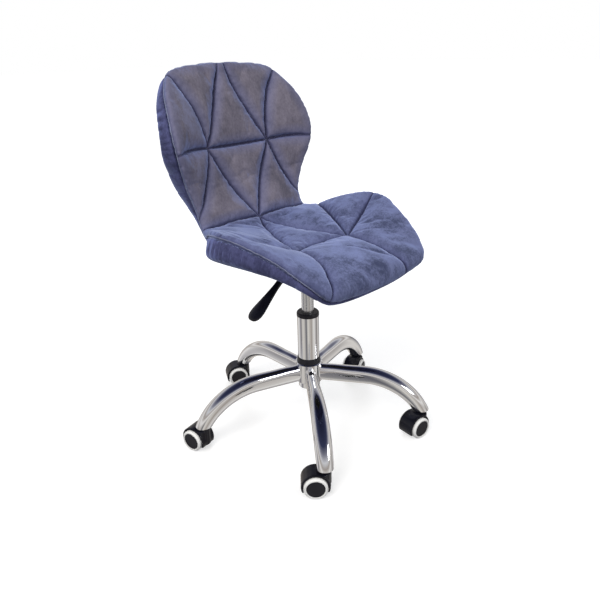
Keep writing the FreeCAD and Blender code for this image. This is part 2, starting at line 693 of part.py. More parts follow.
def stem_socket(spot):
    """The sleeve in an arm's tip that a castor stem turns in."""
    low = size("arm_tip_height") - 1
    bore = size("stem_radius") + size("running_gap")
    outside = Part.makeCylinder(bore + size("stem_socket_wall"), size("stem_top") + 1 - low,
                                Vector(spot.x, spot.y, low))
    inside = Part.makeCylinder(bore, size("stem_top") + size("layer_gap") - low, Vector(spot.x, spot.y, low))
    return outside.cut(inside)


# ---------------------------------------------------------------- castors
CASTOR_TRAIL_ANGLES = (135.5, 171.5, 200.5, 149.5, 102.5)    # which way each castor points at rest


def rounded_rims(disc, radius):
    """A cylinder with both of its rims rounded."""
    rims = [rim for rim in disc.Edges if isinstance(rim.Curve, Part.Circle)]
    return disc.makeFillet(radius, rims)


def hood_shape():
    """A hood over twin wheels: its stem is on Z and its wheels trail along +X."""
    trail = size("castor_trail")
    axle_height = size("wheel_radius")
    inner = size("wheel_radius") + size("hood_gap")
    outer = inner + size("hood_wall")
    half = size("hood_half_width")
    skirt = size("hood_skirt")
    edge = size("hood_edge")
    nose_centre = half + 1 - size("neck_radius")
    centre = Vector(trail, 0, axle_height)

    def along_y(radius, half_length):
        return Part.makeCylinder(radius, 2 * half_length, centre - Y_AXIS * half_length, Y_AXIS)

    height = axle_height + outer - edge - skirt
    block = Part.makeBox(trail - nose_centre, 2 * half, height, Vector(nose_centre, -half, skirt))
    nose = rounded_rims(Part.makeCylinder(half, height, Vector(nose_centre, 0, skirt)), edge)
    dome = rounded_rims(along_y(outer, half), edge)
    neck = Part.makeCylinder(size("neck_radius"), size("neck_top") - axle_height, Vector(0, 0, axle_height))
    body = dome.fuse([block, nose, neck]).removeSplitter()
    floor_room = Part.makeBox(4 * outer, 4 * half, outer + skirt, Vector(-2 * outer, -2 * half, -outer))
    wheel_room = along_y(inner, 2 * half)
    web = Part.makeBox(2 * outer, 2 * size("hood_web"), 2 * outer, Vector(trail - outer, -size("hood_web"), 0))
    web = web.common(along_y(inner + 1, size("hood_web")))
    shell = body.cut([wheel_room]).fuse(web).cut(floor_room)
    stem_room = Part.makeCylinder(size("stem_radius"), size("neck_top"), Vector(0, 0, size("stem_bottom")))
    axle_room = along_y(size("axle_radius"), 2 * half)
    return shell.cut([stem_room, axle_room])


def make_castors():
    """Five twin-wheel castors, each with a hood, its stem and axle, and two wheels with tyres."""
    hood = hood_shape()
    trail = size("castor_trail")
    height = size("wheel_radius")
    stem = Part.makeCylinder(size("stem_radius"), size("stem_top") - size("stem_bottom"),
                             Vector(0, 0, size("stem_bottom")))
    axle_half = size("wheel_outer") - 3
    axle = Part.makeCylinder(size("axle_radius"), 2 * axle_half, Vector(trail, -axle_half, height), Y_AXIS)
    pins = Part.makeCompound([stem, axle])
    for number, (angle, trail_angle) in enumerate(zip(arm_angles(), CASTOR_TRAIL_ANGLES), start=1):
        direction = math.radians(angle)
        spot = Vector(size("arm_reach") * math.cos(direction), size("arm_reach") * math.sin(direction), 0)
        place = turn_about_z(trail_angle, spot)
        keep(solid_feature("hood_%d" % number, hood), "castor_%d_hood" % number, place)
        keep(solid_feature("pins_%d" % number, pins), "castor_%d_stem_and_axle" % number, place)
        for side, turn in (("left", -90), ("right", 90)):
            lay_down = FreeCAD.Placement(Vector(trail, 0, height), FreeCAD.Rotation(X_AXIS, turn))
            make_wheel("castor_%d_%s" % (number, side), place.multiply(lay_down))


def make_wheel(name, placement):
    """A black wheel core turning on the axle, and its pale tyre that wraps over the outer face."""
    core = "wheel_radius - tyre_depth"
    inner = "wheel_inner"
    outer = "wheel_outer"
    bore = "axle_radius + running_gap"
    turned(name + "_wheel", [
        (bore, inner), (core, inner), (core, outer + " - tyre_lip"), (core + " - 2", outer),
        ("0", outer), ("0", outer + " - 2.5"), (bore, outer + " - 2.5")], placement)
    turned(name + "_tyre", [
        (core, inner), ("wheel_radius - 1.5", inner), ("wheel_radius", inner + " + 1.5"),
        ("wheel_radius", outer + " - 3"), ("wheel_radius - 2.5", outer),
        (core + " + 0.6", outer), (core, outer + " - tyre_lip")], placement)


def check_and_write():
    """Stop on any failed object, then write each sub-part to its own file."""
    doc.recompute()
    for item in doc.Objects:
        if "Invalid" in item.State or "Error" in item.State:
            raise RuntimeError("failed object: " + item.Name)
    for item in finished:
        shape = item.Shape
        if shape.isNull() or not shape.isValid():
            raise RuntimeError("bad shape: " + item.Label)
        shape.exportStep(os.path.join("parts", item.Label + ".step"))
        print("%-30s solids %d  volume %9.1f cm3" % (item.Label, len(shape.Solids), shape.Volume / 1000))
    print(len(finished), "sub-parts")


make_seat_and_back()
make_mechanism()
make_lever()
make_gas_lift()
make_base()
make_castors()
check_and_write()
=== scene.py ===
# %% [markdown]
# # A small swivel chair in quilted velvet
#
# The chair has a one-piece winged seat and back, a gas lift with a lever, and a chromed star base
# on twin-wheel castors. Its frame, lift, base and wheels come from a packed engineering model, and
# this script adds what an engineering model leaves plain: upholstery, finishes, light and a camera.
# Everything is in metres, with +Z up and the chair facing -Y.

# %% Load the frame
import json
import math

import bpy
import numpy as np
from mathutils import Matrix, Vector
from mathutils.geometry import delaunay_2d_cdt
from mathutils.kdtree import KDTree


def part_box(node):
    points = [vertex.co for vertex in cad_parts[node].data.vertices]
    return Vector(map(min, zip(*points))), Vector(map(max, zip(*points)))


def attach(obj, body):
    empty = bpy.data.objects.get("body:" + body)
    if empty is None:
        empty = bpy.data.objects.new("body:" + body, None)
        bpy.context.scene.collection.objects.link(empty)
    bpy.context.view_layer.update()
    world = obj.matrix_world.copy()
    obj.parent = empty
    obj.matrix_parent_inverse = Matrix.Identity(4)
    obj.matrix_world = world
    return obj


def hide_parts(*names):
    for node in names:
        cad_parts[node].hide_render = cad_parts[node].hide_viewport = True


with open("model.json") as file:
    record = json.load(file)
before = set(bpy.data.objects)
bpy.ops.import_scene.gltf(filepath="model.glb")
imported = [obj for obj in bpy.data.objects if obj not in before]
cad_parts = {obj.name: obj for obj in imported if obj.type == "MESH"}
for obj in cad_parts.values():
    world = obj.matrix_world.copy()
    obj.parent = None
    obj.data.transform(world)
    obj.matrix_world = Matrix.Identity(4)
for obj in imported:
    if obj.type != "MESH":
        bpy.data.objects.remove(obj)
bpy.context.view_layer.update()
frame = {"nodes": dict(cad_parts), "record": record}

MM = 0.001

# %% [markdown]
# ## The shell that the upholstery follows
#
# Seat and back are one curved surface: a line runs back along the seat, turns up at the crease and
# climbs the back, and at each place along it the surface has a width and a rise at its wings.
# A grid of numbers would hide that idea, so the surface is built from a few cross sections, each
# tied to the size of the frame, with smooth curves between them.

# %% Places that the frame gives
pad_low, pad_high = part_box("seat_pad")
plate_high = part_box("mechanism_plate")[1]
half_seat = pad_high.x
front_y = pad_low.y
seat_level = plate_high.z + 44 * MM
crease_y = front_y + 344 * MM
crease_z = seat_level + 34 * MM
back_tall = pad_high.z - crease_z
back_lean = 0.35 * back_tall
half_crease = 0.672 * half_seat
half_back = 0.849 * half_seat
seat_rise = 62 * MM
back_rise = 51 * MM
seat_run = crease_y - front_y
print("seat level %.0f mm, crease at %.0f mm, back %.0f mm tall" % (
    seat_level / MM, crease_z / MM, back_tall / MM))

# %% Cross sections from the front lip to the top of the back
SECTIONS = [
    # centre y, centre z, half width, wing rise
    (front_y + 3 * MM, seat_level - 51 * MM, 0.55 * half_seat, -6 * MM),
    (front_y - 1 * MM, seat_level - 30 * MM, 0.66 * half_seat, -3 * MM),
    (front_y + 0.087 * seat_run, seat_level - 13 * MM, 0.765 * half_seat, 0.17 * seat_rise),
    (front_y + 0.235 * seat_run, seat_level - 3 * MM, 0.862 * half_seat, 0.55 * seat_rise),
    (front_y + 0.416 * seat_run, seat_level - 2 * MM, 0.974 * half_seat, 0.97 * seat_rise),
    (front_y + 0.625 * seat_run, seat_level + 2 * MM, half_seat, seat_rise),
    (front_y + 0.80 * seat_run, seat_level + 8 * MM, 0.88 * half_seat, 0.65 * seat_rise),
    (front_y + 0.933 * seat_run, seat_level + 18 * MM, 0.741 * half_seat, 0.15 * seat_rise),
    (crease_y, crease_z, half_crease, -13 * MM),
    (crease_y + 0.215 * back_lean, crease_z + 0.10 * back_tall, 0.98 * half_crease, -6 * MM),
    (crease_y + 0.43 * back_lean, crease_z + 0.25 * back_tall, 0.868 * half_back, 0.33 * back_rise),
    (crease_y + 0.60 * back_lean, crease_z + 0.476 * back_tall, half_back, back_rise),
    (crease_y + 0.76 * back_lean, crease_z + 0.688 * back_tall, 0.97 * half_back, 0.88 * back_rise),
    (crease_y + 0.905 * back_lean, crease_z + 0.858 * back_tall, 0.853 * half_back, 0.41 * back_rise),
    (crease_y + back_lean, crease_z + back_tall, 0.66 * half_back, -5 * MM),
]
WING_POWER = 2.2           # how suddenly the wings turn up towards the edges
sections = np.array(SECTIONS)
steps = np.hypot(np.diff(sections[:, 0]), np.diff(sections[:, 1]))
marks = np.concatenate([[0.0], np.cumsum(steps)])
run_length = marks[-1]
CREASE = marks[8]
CROSS_SEAM = marks[11]
print("the surface runs %.0f mm from lip to top" % (run_length / MM))


# %% Smooth curves through the sections
def smooth(at, values):
    """A curve through one value per section, with its slope at each from its two neighbours."""
    slopes = np.gradient(values, marks)
    place = np.clip(np.searchsorted(marks, at, side="right") - 1, 0, len(marks) - 2)
    width = marks[place + 1] - marks[place]
    share = (at - marks[place]) / width
    rise = share ** 2 * (3 - 2 * share)
    start = share * (1 - share) ** 2 * width * slopes[place]
    end = share ** 2 * (share - 1) * width * slopes[place + 1]
    return values[place] * (1 - rise) + values[place + 1] * rise + start + end


END_ROUND_FRONT = 16 * MM   # the cloth pattern's corners are rounded off over this length at the lip
END_ROUND_TOP = 26 * MM     # and over this length at the top of the back
END_POWER = 2.6


def outline(at):
    """Half the width of the cloth pattern at a place along the run, closing at both ends."""
    front = np.clip(1 - at / END_ROUND_FRONT, 0, 1)
    top = np.clip(1 - (run_length - at) / END_ROUND_TOP, 0, 1)
    closing = (1 - front ** END_POWER) ** (1 / END_POWER) * (1 - top ** END_POWER) ** (1 / END_POWER)
    return smooth(at, sections[:, 2]) * closing


def on_shell(across, at):
    """Points of the shell surface for places in the flat cloth pattern."""
    step = 0.5 * MM
    centre = np.stack([smooth(at, sections[:, 0]), smooth(at, sections[:, 1])], -1)
    after = np.stack([smooth(at + step, sections[:, 0]), smooth(at + step, sections[:, 1])], -1)
    before = np.stack([smooth(at - step, sections[:, 0]), smooth(at - step, sections[:, 1])], -1)
    along = after - before
    along /= np.linalg.norm(along, axis=-1, keepdims=True)
    half = smooth(at, sections[:, 2])
    lift = smooth(at, sections[:, 3]) * np.abs(across / half) ** WING_POWER
    return np.stack([across, centre[..., 0] - along[..., 1] * lift, centre[..., 1] + along[..., 0] * lift], -1)


def shell_normal(across, at):
    """The way the shell surface faces: up out of the seat, forward out of the back."""
    step = 1.0 * MM
    sideways = on_shell(across + step, at) - on_shell(across - step, at)
    onward = on_shell(across, at + step) - on_shell(across, at - step)
    normal = np.cross(sideways, onward)
    return normal / np.linalg.norm(normal, axis=-1, keepdims=True)


corner = on_shell(np.array([half_seat]), np.array([marks[5]]))[0]
print("wing tip at", np.round(corner / MM))

# %% [markdown]
# ## The cloth pattern of the quilted pad
#
# The upholsterer cuts velvet flat, sews it to foam along straight and curved lines, and stretches
# it over the shell, so each panel puffs up between its seams. The pattern is drawn flat here too:
# x across the chair and t along the run. Sculpting the panels directly in space would make every
# seam a guess, while a flat pattern keeps both halves true mirror images of each other.

# %% The outline of the pattern
GRID = 5.0 * MM            # spacing of the cloth's points


def spaced(points, spacing):
    """The same polyline with points evenly spaced along it, both ends kept."""
    points = np.asarray(points, float)
    lengths = np.hypot(*np.diff(points, axis=0).T)
    along = np.concatenate([[0], np.cumsum(lengths)])
    count = max(2, int(round(along[-1] / spacing)) + 1)
    places = np.linspace(0, along[-1], count)
    return np.stack([np.interp(places, along, points[:, axis]) for axis in (0, 1)], -1)


def outline_half():
    """The right-hand edge of the pattern, from the middle of the lip to the middle of the top."""
    even = np.linspace(0, 1, 1500)
    at = run_length * (1 - np.cos(math.pi * even)) / 2
    return np.stack([outline(at), at], -1)


half_edge = spaced(outline_half(), GRID)
left_edge = half_edge[::-1][1:-1] * [-1, 1]
edge_points = np.concatenate([half_edge, left_edge])
closed_edge = np.concatenate([edge_points, edge_points[:1]])
print("pattern edge:", len(edge_points), "points")

# %% The seams between the panels
BACK_NODE = 0.447          # how far out the back's seams meet, as a share of the half width
SEAT_NODE = 0.355          # and the seat's
SEAT_NODE_AT = 0.234 * run_length
WING_END_AT = 0.306 * run_length
HIP_AT = 0.556 * run_length
SEAT_HIP_AT = CREASE - 24 * MM
SHOULDER_AT = 0.968 * run_length
LIP_CORNER_AT = 14 * MM


def spot(share, at):
    """A place in the pattern: a share of the half width, and a distance along the run."""
    return np.array([share * outline(np.array([at]))[0], at])


def bowed(start, end, bow):
    """A seam between two places that bows to its left by a distance."""
    start, end = np.asarray(start, float), np.asarray(end, float)
    share = np.linspace(0, 1, 40)[:, None]
    side = np.array([start[1] - end[1], end[0] - start[0]])
    side /= np.linalg.norm(side)
    line = start + (end - start) * share + side * bow * 4 * share * (1 - share)
    for number in (0, -1):
        gaps = np.hypot(*(edge_points - line[number]).T)
        if gaps.min() < GRID:
            line[number] = edge_points[gaps.argmin()]
    return line


def mirrored(line):
    """The same seam on the other side of the chair."""
    return line * [-1, 1]


back_node = spot(-BACK_NODE, CROSS_SEAM)
seat_node = spot(-SEAT_NODE, SEAT_NODE_AT)
crease_middle = np.array([0, CREASE])
left_seams = [
    bowed(spot(-1, CROSS_SEAM - 8 * MM), back_node, 4 * MM),
    bowed(back_node, spot(-1, SHOULDER_AT), -15 * MM),
    bowed(back_node, np.array([-7 * MM, run_length]), -5 * MM),
    bowed(back_node, spot(-1, HIP_AT), 6 * MM),
    bowed(back_node, crease_middle, 0),
    bowed(spot(-1, CREASE), crease_middle, 4 * MM),
    bowed(crease_middle, seat_node, 0),
    bowed(seat_node, spot(-1, WING_END_AT), -4 * MM),
]
single_seams = [
    bowed(back_node, mirrored(back_node), 0),
    bowed(seat_node, mirrored(seat_node), 20 * MM),
    bowed(seat_node, spot(-1, LIP_CORNER_AT), 16 * MM),
    bowed(mirrored(seat_node), np.array([0.40 * half_seat, 3 * MM]), -13 * MM),
    mirrored(bowed(spot(-1, SEAT_HIP_AT), seat_node, -5 * MM)),
]
faint_seams = [
    bowed(spot(-0.86, SEAT_HIP_AT), seat_node, -5 * MM),
    bowed(mirrored(seat_node), spot(1, 0.09 * run_length), -6 * MM),
    bowed(np.array([0.02 * half_seat, 0.15 * run_length]), np.array([0.37 * half_seat, 0.03 * run_length]), -3 * MM),
]
seams = [spaced(line, 0.8 * GRID) for line in left_seams + [mirrored(s) for s in left_seams] + single_seams]
faint_lines = [spaced(line, 0.8 * GRID) for line in faint_seams]
print("seams:", len(seams), "lines, %.2f m in all" % sum(np.hypot(*np.diff(s, axis=0).T).sum() for s in seams))

# %% [markdown]
# ## From a flat pattern to a mesh
#
# A cloth mesh needs evenly sized triangles, with points lying exactly on every seam so that the
# fabric can be held there. A constrained triangulation of a staggered grid gives both, where a
# plain grid would cross the slanting seams and leave ragged puffs.

# %% Distances and triangulation
LINE_BREAK = 0.3           # added to the place along the seams where one line ends


def distance_to(points, lines):
    """Distance from each point to the nearest of some polylines, and the place along them there."""
    corners = np.concatenate(lines)
    ends = np.cumsum([len(line) for line in lines])
    is_last = np.zeros(len(corners), bool)
    is_last[ends - 1] = True
    lengths = np.hypot(*np.diff(corners, axis=0, append=corners[-1:]).T)
    lengths[is_last] = LINE_BREAK
    starts = np.concatenate([[0.0], np.cumsum(lengths)[:-1]])
    tree = KDTree(len(corners))
    for number, corner in enumerate(corners):
        tree.insert((corner[0], corner[1], 0), number)
    tree.balance()
    nearest = np.array([tree.find((p[0], p[1], 0))[1] for p in points])
    gaps = np.full(len(points), 1e9)
    places_along = np.zeros(len(points))
    for first in (nearest - 1, nearest):
        first = np.clip(first, 0, len(corners) - 2)
        first = np.where(is_last[first], np.where(first == nearest, first - 1, first + 1), first)
        piece = corners[first + 1] - corners[first]
        length = np.maximum(np.hypot(*piece.T), 1e-9)
        share = np.clip(((points - corners[first]) * piece).sum(1) / length ** 2, 0, 1)
        gap = np.hypot(*(points - corners[first] - share[:, None] * piece).T)
        closer = gap < gaps
        gaps[closer] = gap[closer]
        places_along[closer] = (starts[first] + share * length)[closer]
    return gaps, places_along


def staggered_grid(spacing):
    """Points in even, staggered rows inside the pattern."""
    rows = np.arange(0, run_length, spacing * math.sqrt(3) / 2)
    points = []
    for number, at in enumerate(rows):
        half = outline(np.array([at]))[0]
        shift = spacing / 2 * (number % 2)
        across = np.arange(-math.floor(half / spacing) * spacing - shift, half, spacing)
        points.append(np.stack([across, np.full(len(across), at)], -1))
    return np.concatenate(points)


def beside(line, gap):
    """Two lines that run beside a seam at a distance."""
    along = np.gradient(line, axis=0)
    side = np.stack([-along[:, 1], along[:, 0]], -1)
    side /= np.linalg.norm(side, axis=1, keepdims=True)
    return np.concatenate([line + side * gap, line - side * gap])


def triangulate(spacing, lines):
    """Points and triangles that fill the pattern: its edge points first, then a row along each line."""
    shoulder = 0.55 * spacing
    points = staggered_grid(spacing)
    if lines:
        extra = np.concatenate([beside(line, shoulder) for line in lines])
        extra = extra[distance_to(extra, lines)[0] > 0.9 * shoulder]
        points = points[distance_to(points, lines)[0] > shoulder + 0.5 * spacing]
        points = np.concatenate([points, extra])
    points = points[distance_to(points, [closed_edge])[0] > 0.5 * spacing]
    points = points[np.abs(points[:, 0]) < outline(points[:, 1])]
    count = len(edge_points)
    everything = [tuple(p) for p in edge_points]
    links = [(i, (i + 1) % count) for i in range(count)]
    for line in lines:
        first = len(everything)
        everything += [tuple(p) for p in line]
        links += [(first + i, first + i + 1) for i in range(len(line) - 1)]
    everything += [tuple(p) for p in points]
    found = delaunay_2d_cdt([Vector(p) for p in everything], links, [], 1, 0.3 * MM)
    sources = [min(source) if source else len(everything) for source in found[3]]
    order = np.argsort(sources, kind="stable")
    rank = np.empty(len(order), int)
    rank[order] = np.arange(len(order))
    flat_points = np.array([tuple(v) for v in found[0]])[order]
    return flat_points, rank[np.array([tuple(f) for f in found[2]])]


flat, triangles = triangulate(GRID, seams)
edge_gap = distance_to(flat, [closed_edge])[0]
on_edge = np.arange(len(flat)) < len(edge_points)
on_seam = distance_to(flat, seams)[0] < 0.3 * MM
print("pad cloth: %d points, %d triangles, %d on the edge, %d on seams" % (
    len(flat), len(triangles), on_edge.sum(), on_seam.sum()))

# %% [markdown]
# ## How high each panel puffs
#
# Foam under a sewn panel pushes the cloth up until the seams stop it. The height obeys the same
# rule as a stretched skin on springs: every point is the mean of its neighbours, pulled towards
# the foam's full height, and held at zero on the seams. A few hundred rounds of that averaging
# give soft crowns that no hand-drawn profile would, and they suit any shape of panel.

# %% Soft crowns between the seams
CROWN = 13.0 * MM          # full height of the foam above the seams
SOFTNESS = 13.0 * MM       # how far from a seam the cloth takes to rise
EDGE_ROLL = 17.0 * MM      # how far in from the edge the pad is rounded over
ROLL_POWER = 2.3
EDGE_LOOSENESS = 0.86      # how little the seams pull the pad in where they run over its edge
LOOSE_REACH = 46.0 * MM    # how far in from the edge they take to pull their hardest


def mesh_links(faces):
    """The pairs of points that share an edge."""
    pairs = np.concatenate([faces[:, [0, 1]], faces[:, [1, 2]], faces[:, [2, 0]]])
    return np.unique(np.sort(pairs, axis=1), axis=0)


def neighbour_mean(values, links):
    """The mean of each point's neighbours."""
    count = len(values)
    a, b = links.T
    total = np.bincount(a, values[b], count) + np.bincount(b, values[a], count)
    number = np.bincount(a, minlength=count) + np.bincount(b, minlength=count)
    return total / np.maximum(number, 1)


def settle(target, links, held, sewn, softness, rounds):
    """Heights of a stretched skin on foam that wants to reach target, held at sewn heights in places."""
    pull = (GRID / softness) ** 2
    heights = np.where(held, sewn, target)
    for _ in range(rounds):
        heights = (neighbour_mean(heights, links) + pull * target) / (1 + pull)
        heights[held] = sewn[held]
    return heights


def smooth_share(share):
    """Rises gently from 0 to 1 as its input does."""
    share = np.clip(share, 0, 1)
    return share * share * (3 - 2 * share)


def rounded(distance, reach):
    """Rises from 0 to 1 over a distance from an edge, upright at the edge and level at its end."""
    share = np.clip(distance / reach, 0, 1)
    return (1 - (1 - share) ** ROLL_POWER) ** (1 / ROLL_POWER)


links = mesh_links(triangles)
foam = np.full(len(flat), CROWN)
sewn = EDGE_LOOSENESS * CROWN * (1 - smooth_share(edge_gap / LOOSE_REACH))
puff = settle(foam, links, on_seam, sewn, SOFTNESS, 400)
puff *= rounded(edge_gap, EDGE_ROLL)
print("panels rise up to %.1f mm" % (puff.max() / MM))

# %% The closed pad: quilted face in front, plain cloth against the shell behind
PAD_EDGE = 6.0 * MM
PAD_DEPTH = 24.0 * MM
PAD_BULGE = 7.0 * MM       # how far the rolled edge stands out beyond its seam
REAR_GRID = 14.0 * MM      # the hidden rear sheet can be coarse
EVENING_ROUNDS = 12
here = on_shell(flat[:, 0], flat[:, 1])
facing = shell_normal(flat[:, 0], flat[:, 1])


def closed_form(front, front_faces, back, back_faces):
    """Points and triangles of a closed form whose two sheets share the pattern's edge points."""
    ring = len(edge_points)
    behind = np.concatenate([np.arange(ring), len(front) + np.arange(len(back) - ring)])
    points = np.concatenate([front, back[ring:]])
    return points, np.concatenate([front_faces, behind[back_faces][:, ::-1]])


def facing_out(faces, points, outward):
    """The same triangles, all turned the way that the surface faces."""
    sides = np.cross(points[faces[:, 1]] - points[faces[:, 0]], points[faces[:, 2]] - points[faces[:, 0]])
    wrong = (sides * outward[faces[:, 0]]).sum(1) < 0
    faces = faces.copy()
    faces[wrong] = faces[wrong][:, ::-1]
    return faces


def make_mesh(name, points, faces):
    """A mesh object from points and faces, shaded smooth."""
    mesh = bpy.data.meshes.new(name)
    mesh.from_pydata([tuple(p) for p in points], [], [tuple(int(i) for i in f) for f in faces])
    mesh.update()
    mesh.shade_smooth()
    item = bpy.data.objects.new(name, mesh)
    bpy.context.scene.collection.objects.link(item)
    return item


def places(item):
    """The places of a mesh's points as an array."""
    found = np.zeros(len(item.data.vertices) * 3)
    item.data.vertices.foreach_get("co", found)
    return found.reshape(-1, 3)


def set_places(item, points):
    """Put a mesh's points at new places."""
    item.data.vertices.foreach_set("co", np.asarray(points, float).ravel())
    item.data.update()


def edge_beside(flat_points):
    """The place in space on the sewn edge that is nearest to each point of the pattern."""
    _, along = distance_to(flat_points, [closed_edge])
    marks_along = np.concatenate([[0], np.cumsum(np.hypot(*np.diff(closed_edge, axis=0).T))])
    edge_x = np.interp(along, marks_along, closed_edge[:, 0])
    edge_t = np.interp(along, marks_along, closed_edge[:, 1])
    return on_shell(edge_x, edge_t)


def outward(flat_points, points, faces):
    """The direction from each point towards the sewn edge, in space, evened out over the sheet."""
    direction = edge_beside(flat_points) - points
    direction /= np.maximum(np.linalg.norm(direction, axis=1, keepdims=True), 1 * MM)
    sheet_links = mesh_links(faces)
    for _ in range(EVENING_ROUNDS):
        direction = np.stack([neighbour_mean(direction[:, axis], sheet_links) for axis in range(3)], -1)
    return direction


def evened(sheet, faces, rounds):
    """A sheet with its creases smoothed out, its sewn edge kept where it is."""
    sheet_links = mesh_links(faces)
    edge = sheet[:len(edge_points)].copy()
    for _ in range(rounds):
        sheet = np.stack([neighbour_mean(sheet[:, axis], sheet_links) for axis in range(3)], -1)
        sheet[:len(edge_points)] = edge
    return sheet


def bulge(gaps, reach):
    """How much of a bulge there is at a distance from the edge: none at the edge, most just inside it."""
    share = np.clip(gaps / reach, 0, 1)
    return 4.0 * share ** 0.7 * (1 - share) ** 1.6


def pad_rear_depth(flat_points, gaps):
    """How far behind the shell surface the pad's rear sheet lies."""
    share = np.clip(flat_points[:, 0] / smooth(flat_points[:, 1], sections[:, 2]), -1, 1)
    return (PAD_EDGE + (PAD_DEPTH - PAD_EDGE) * (1 - share ** 2)) * rounded(gaps, EDGE_ROLL)


triangles = facing_out(triangles, here, facing)
front_sheet = here + facing * puff[:, None]
front_sheet += outward(flat, here, triangles) * (PAD_BULGE * bulge(edge_gap, EDGE_ROLL) * puff / CROWN)[:, None]
rear_flat, rear_triangles = triangulate(REAR_GRID, [])
rear_here = on_shell(rear_flat[:, 0], rear_flat[:, 1])
rear_facing = shell_normal(rear_flat[:, 0], rear_flat[:, 1])
rear_triangles = facing_out(rear_triangles, rear_here, rear_facing)
rear_gap = distance_to(rear_flat, [closed_edge])[0]
rear_sheet = rear_here - rear_facing * pad_rear_depth(rear_flat, rear_gap)[:, None]
pad_points, pad_faces = closed_form(front_sheet, triangles, rear_sheet, rear_triangles)
quilted_pad = make_mesh("quilted_pad", pad_points, pad_faces)
pad_flat = np.concatenate([flat, rear_flat[len(edge_points):]])
print("quilted pad: %d points before the cloth settles" % len(pad_points))

# %% [markdown]
# ## Letting the cloth settle
#
# The crowned form is still too perfect. A cloth simulation with a little air pressure lets the
# velvet, cut slightly larger than the panels it covers, find its own small folds beside the
# seams. The seams, the edge and the hidden rear sheet are pinned, and the distance that any
# point may move is capped, so the pad keeps its size.

# %% Cloth with pressure, pinned along its seams
SETTLE_FRAMES = 16
MOVE_CAP = 7.0 * MM
SPARE_CLOTH = 0.010        # how much larger the cloth is cut than its panels


def settle_cloth(item, held, pressure, spare):
    """Run the cloth for a few frames and leave the settled, capped shape on the mesh."""
    start = places(item)
    pins = item.vertex_groups.new(name="held")
    pins.add([int(i) for i in held], 1.0, "REPLACE")
    cloth = item.modifiers.new("cloth", "CLOTH")
    cloth.settings.quality = 6
    cloth.settings.mass = 0.3
    cloth.settings.tension_stiffness = 12
    cloth.settings.compression_stiffness = 12
    cloth.settings.shear_stiffness = 6
    cloth.settings.bending_stiffness = 0.35
    cloth.settings.use_pressure = True
    cloth.settings.uniform_pressure_force = pressure
    cloth.settings.vertex_group_mass = pins.name
    cloth.settings.shrink_min = -spare
    cloth.settings.effector_weights.gravity = 0
    cloth.collision_settings.use_collision = False
    cloth.point_cache.frame_start = 1
    cloth.point_cache.frame_end = SETTLE_FRAMES
    scene = bpy.context.scene
    for frame_number in range(1, SETTLE_FRAMES + 1):
        scene.frame_set(frame_number)
    settled = item.evaluated_get(bpy.context.evaluated_depsgraph_get())
    after = np.zeros(len(start) * 3)
    settled.data.vertices.foreach_get("co", after)
    moved = after.reshape(-1, 3) - start
    far = np.linalg.norm(moved, axis=1)
    item.modifiers.clear()
    item.vertex_groups.clear()
    scene.frame_set(1)
    moved *= np.minimum(1, MOVE_CAP / np.maximum(far, 1e-9))[:, None]
    set_places(item, start + moved)
    return far


held = np.concatenate([np.flatnonzero(on_edge | on_seam), np.arange(len(flat), len(pad_points))])
far = settle_cloth(quilted_pad, held, 4.0, SPARE_CLOTH)
print("cloth moved %.1f mm on average, %.1f mm at most" % (far.mean() / MM, far.max() / MM))

# %% [markdown]
# ## Seams drawn tight
#
# Thread pulls the cloth down into a narrow line and gathers it into short puckers on both sides.
# Both are far finer than the foam's crown, so they are added after the mesh has been divided once,
# as small moves along the surface that fade with distance from the nearest seam.

# %% Divide the cloth, keep its pattern, and sharpen the seams
GROOVE_DEPTH = 2.6 * MM
GROOVE_REACH = 2.6 * MM
GROOVE_LEFT = 0.3          # share of its depth that a seam keeps where it runs over the edge
GROOVE_FADE = 20 * MM
FAINT_DEPTH = 0.9 * MM
PUCKER_HEIGHT = 0.6 * MM
PUCKER_PITCH = 7.0 * MM
PUCKER_REACH = 11.0 * MM
ripples = np.random.default_rng(7).uniform(-1, 1, 4096)


def ripple(place, pitch):
    """A smooth, irregular wave along a line, from -1 to 1."""
    steps_along = place / pitch
    whole = np.floor(steps_along).astype(int)
    share = steps_along - whole
    share = share * share * (3 - 2 * share)
    return ripples[whole % 4096] * (1 - share) + ripples[(whole + 1) % 4096] * share


def pattern_map(item, flat_points):
    """Keep each point's place in the flat pattern on the mesh, as a UV map in metres."""
    layer = item.data.uv_layers.new(name="pattern")
    corner_points = np.zeros(len(item.data.loops), int)
    item.data.loops.foreach_get("vertex_index", corner_points)
    layer.data.foreach_set("uv", flat_points[corner_points].ravel())


def divide(item):
    """Subdivide a mesh once, for good."""
    item.modifiers.new("divide", "SUBSURF").levels = 1
    item.modifiers["divide"].render_levels = 1
    evaluated = item.evaluated_get(bpy.context.evaluated_depsgraph_get())
    mesh = bpy.data.meshes.new_from_object(evaluated)
    item.modifiers.clear()
    item.data = mesh
    mesh.shade_smooth()


def flat_places(item):
    """Each point's place in the flat pattern, read back from its UV map."""
    corner_points = np.zeros(len(item.data.loops), int)
    item.data.loops.foreach_get("vertex_index", corner_points)
    corners = np.zeros(len(corner_points) * 2)
    item.data.uv_layers["pattern"].data.foreach_get("uv", corners)
    found = np.zeros((len(item.data.vertices), 2))
    found[corner_points] = corners.reshape(-1, 2)
    return found


def point_normals(item):
    """The mesh's own direction outwards at each point."""
    found = np.zeros(len(item.data.vertices) * 3)
    item.data.vertices.foreach_get("normal", found)
    return found.reshape(-1, 3)


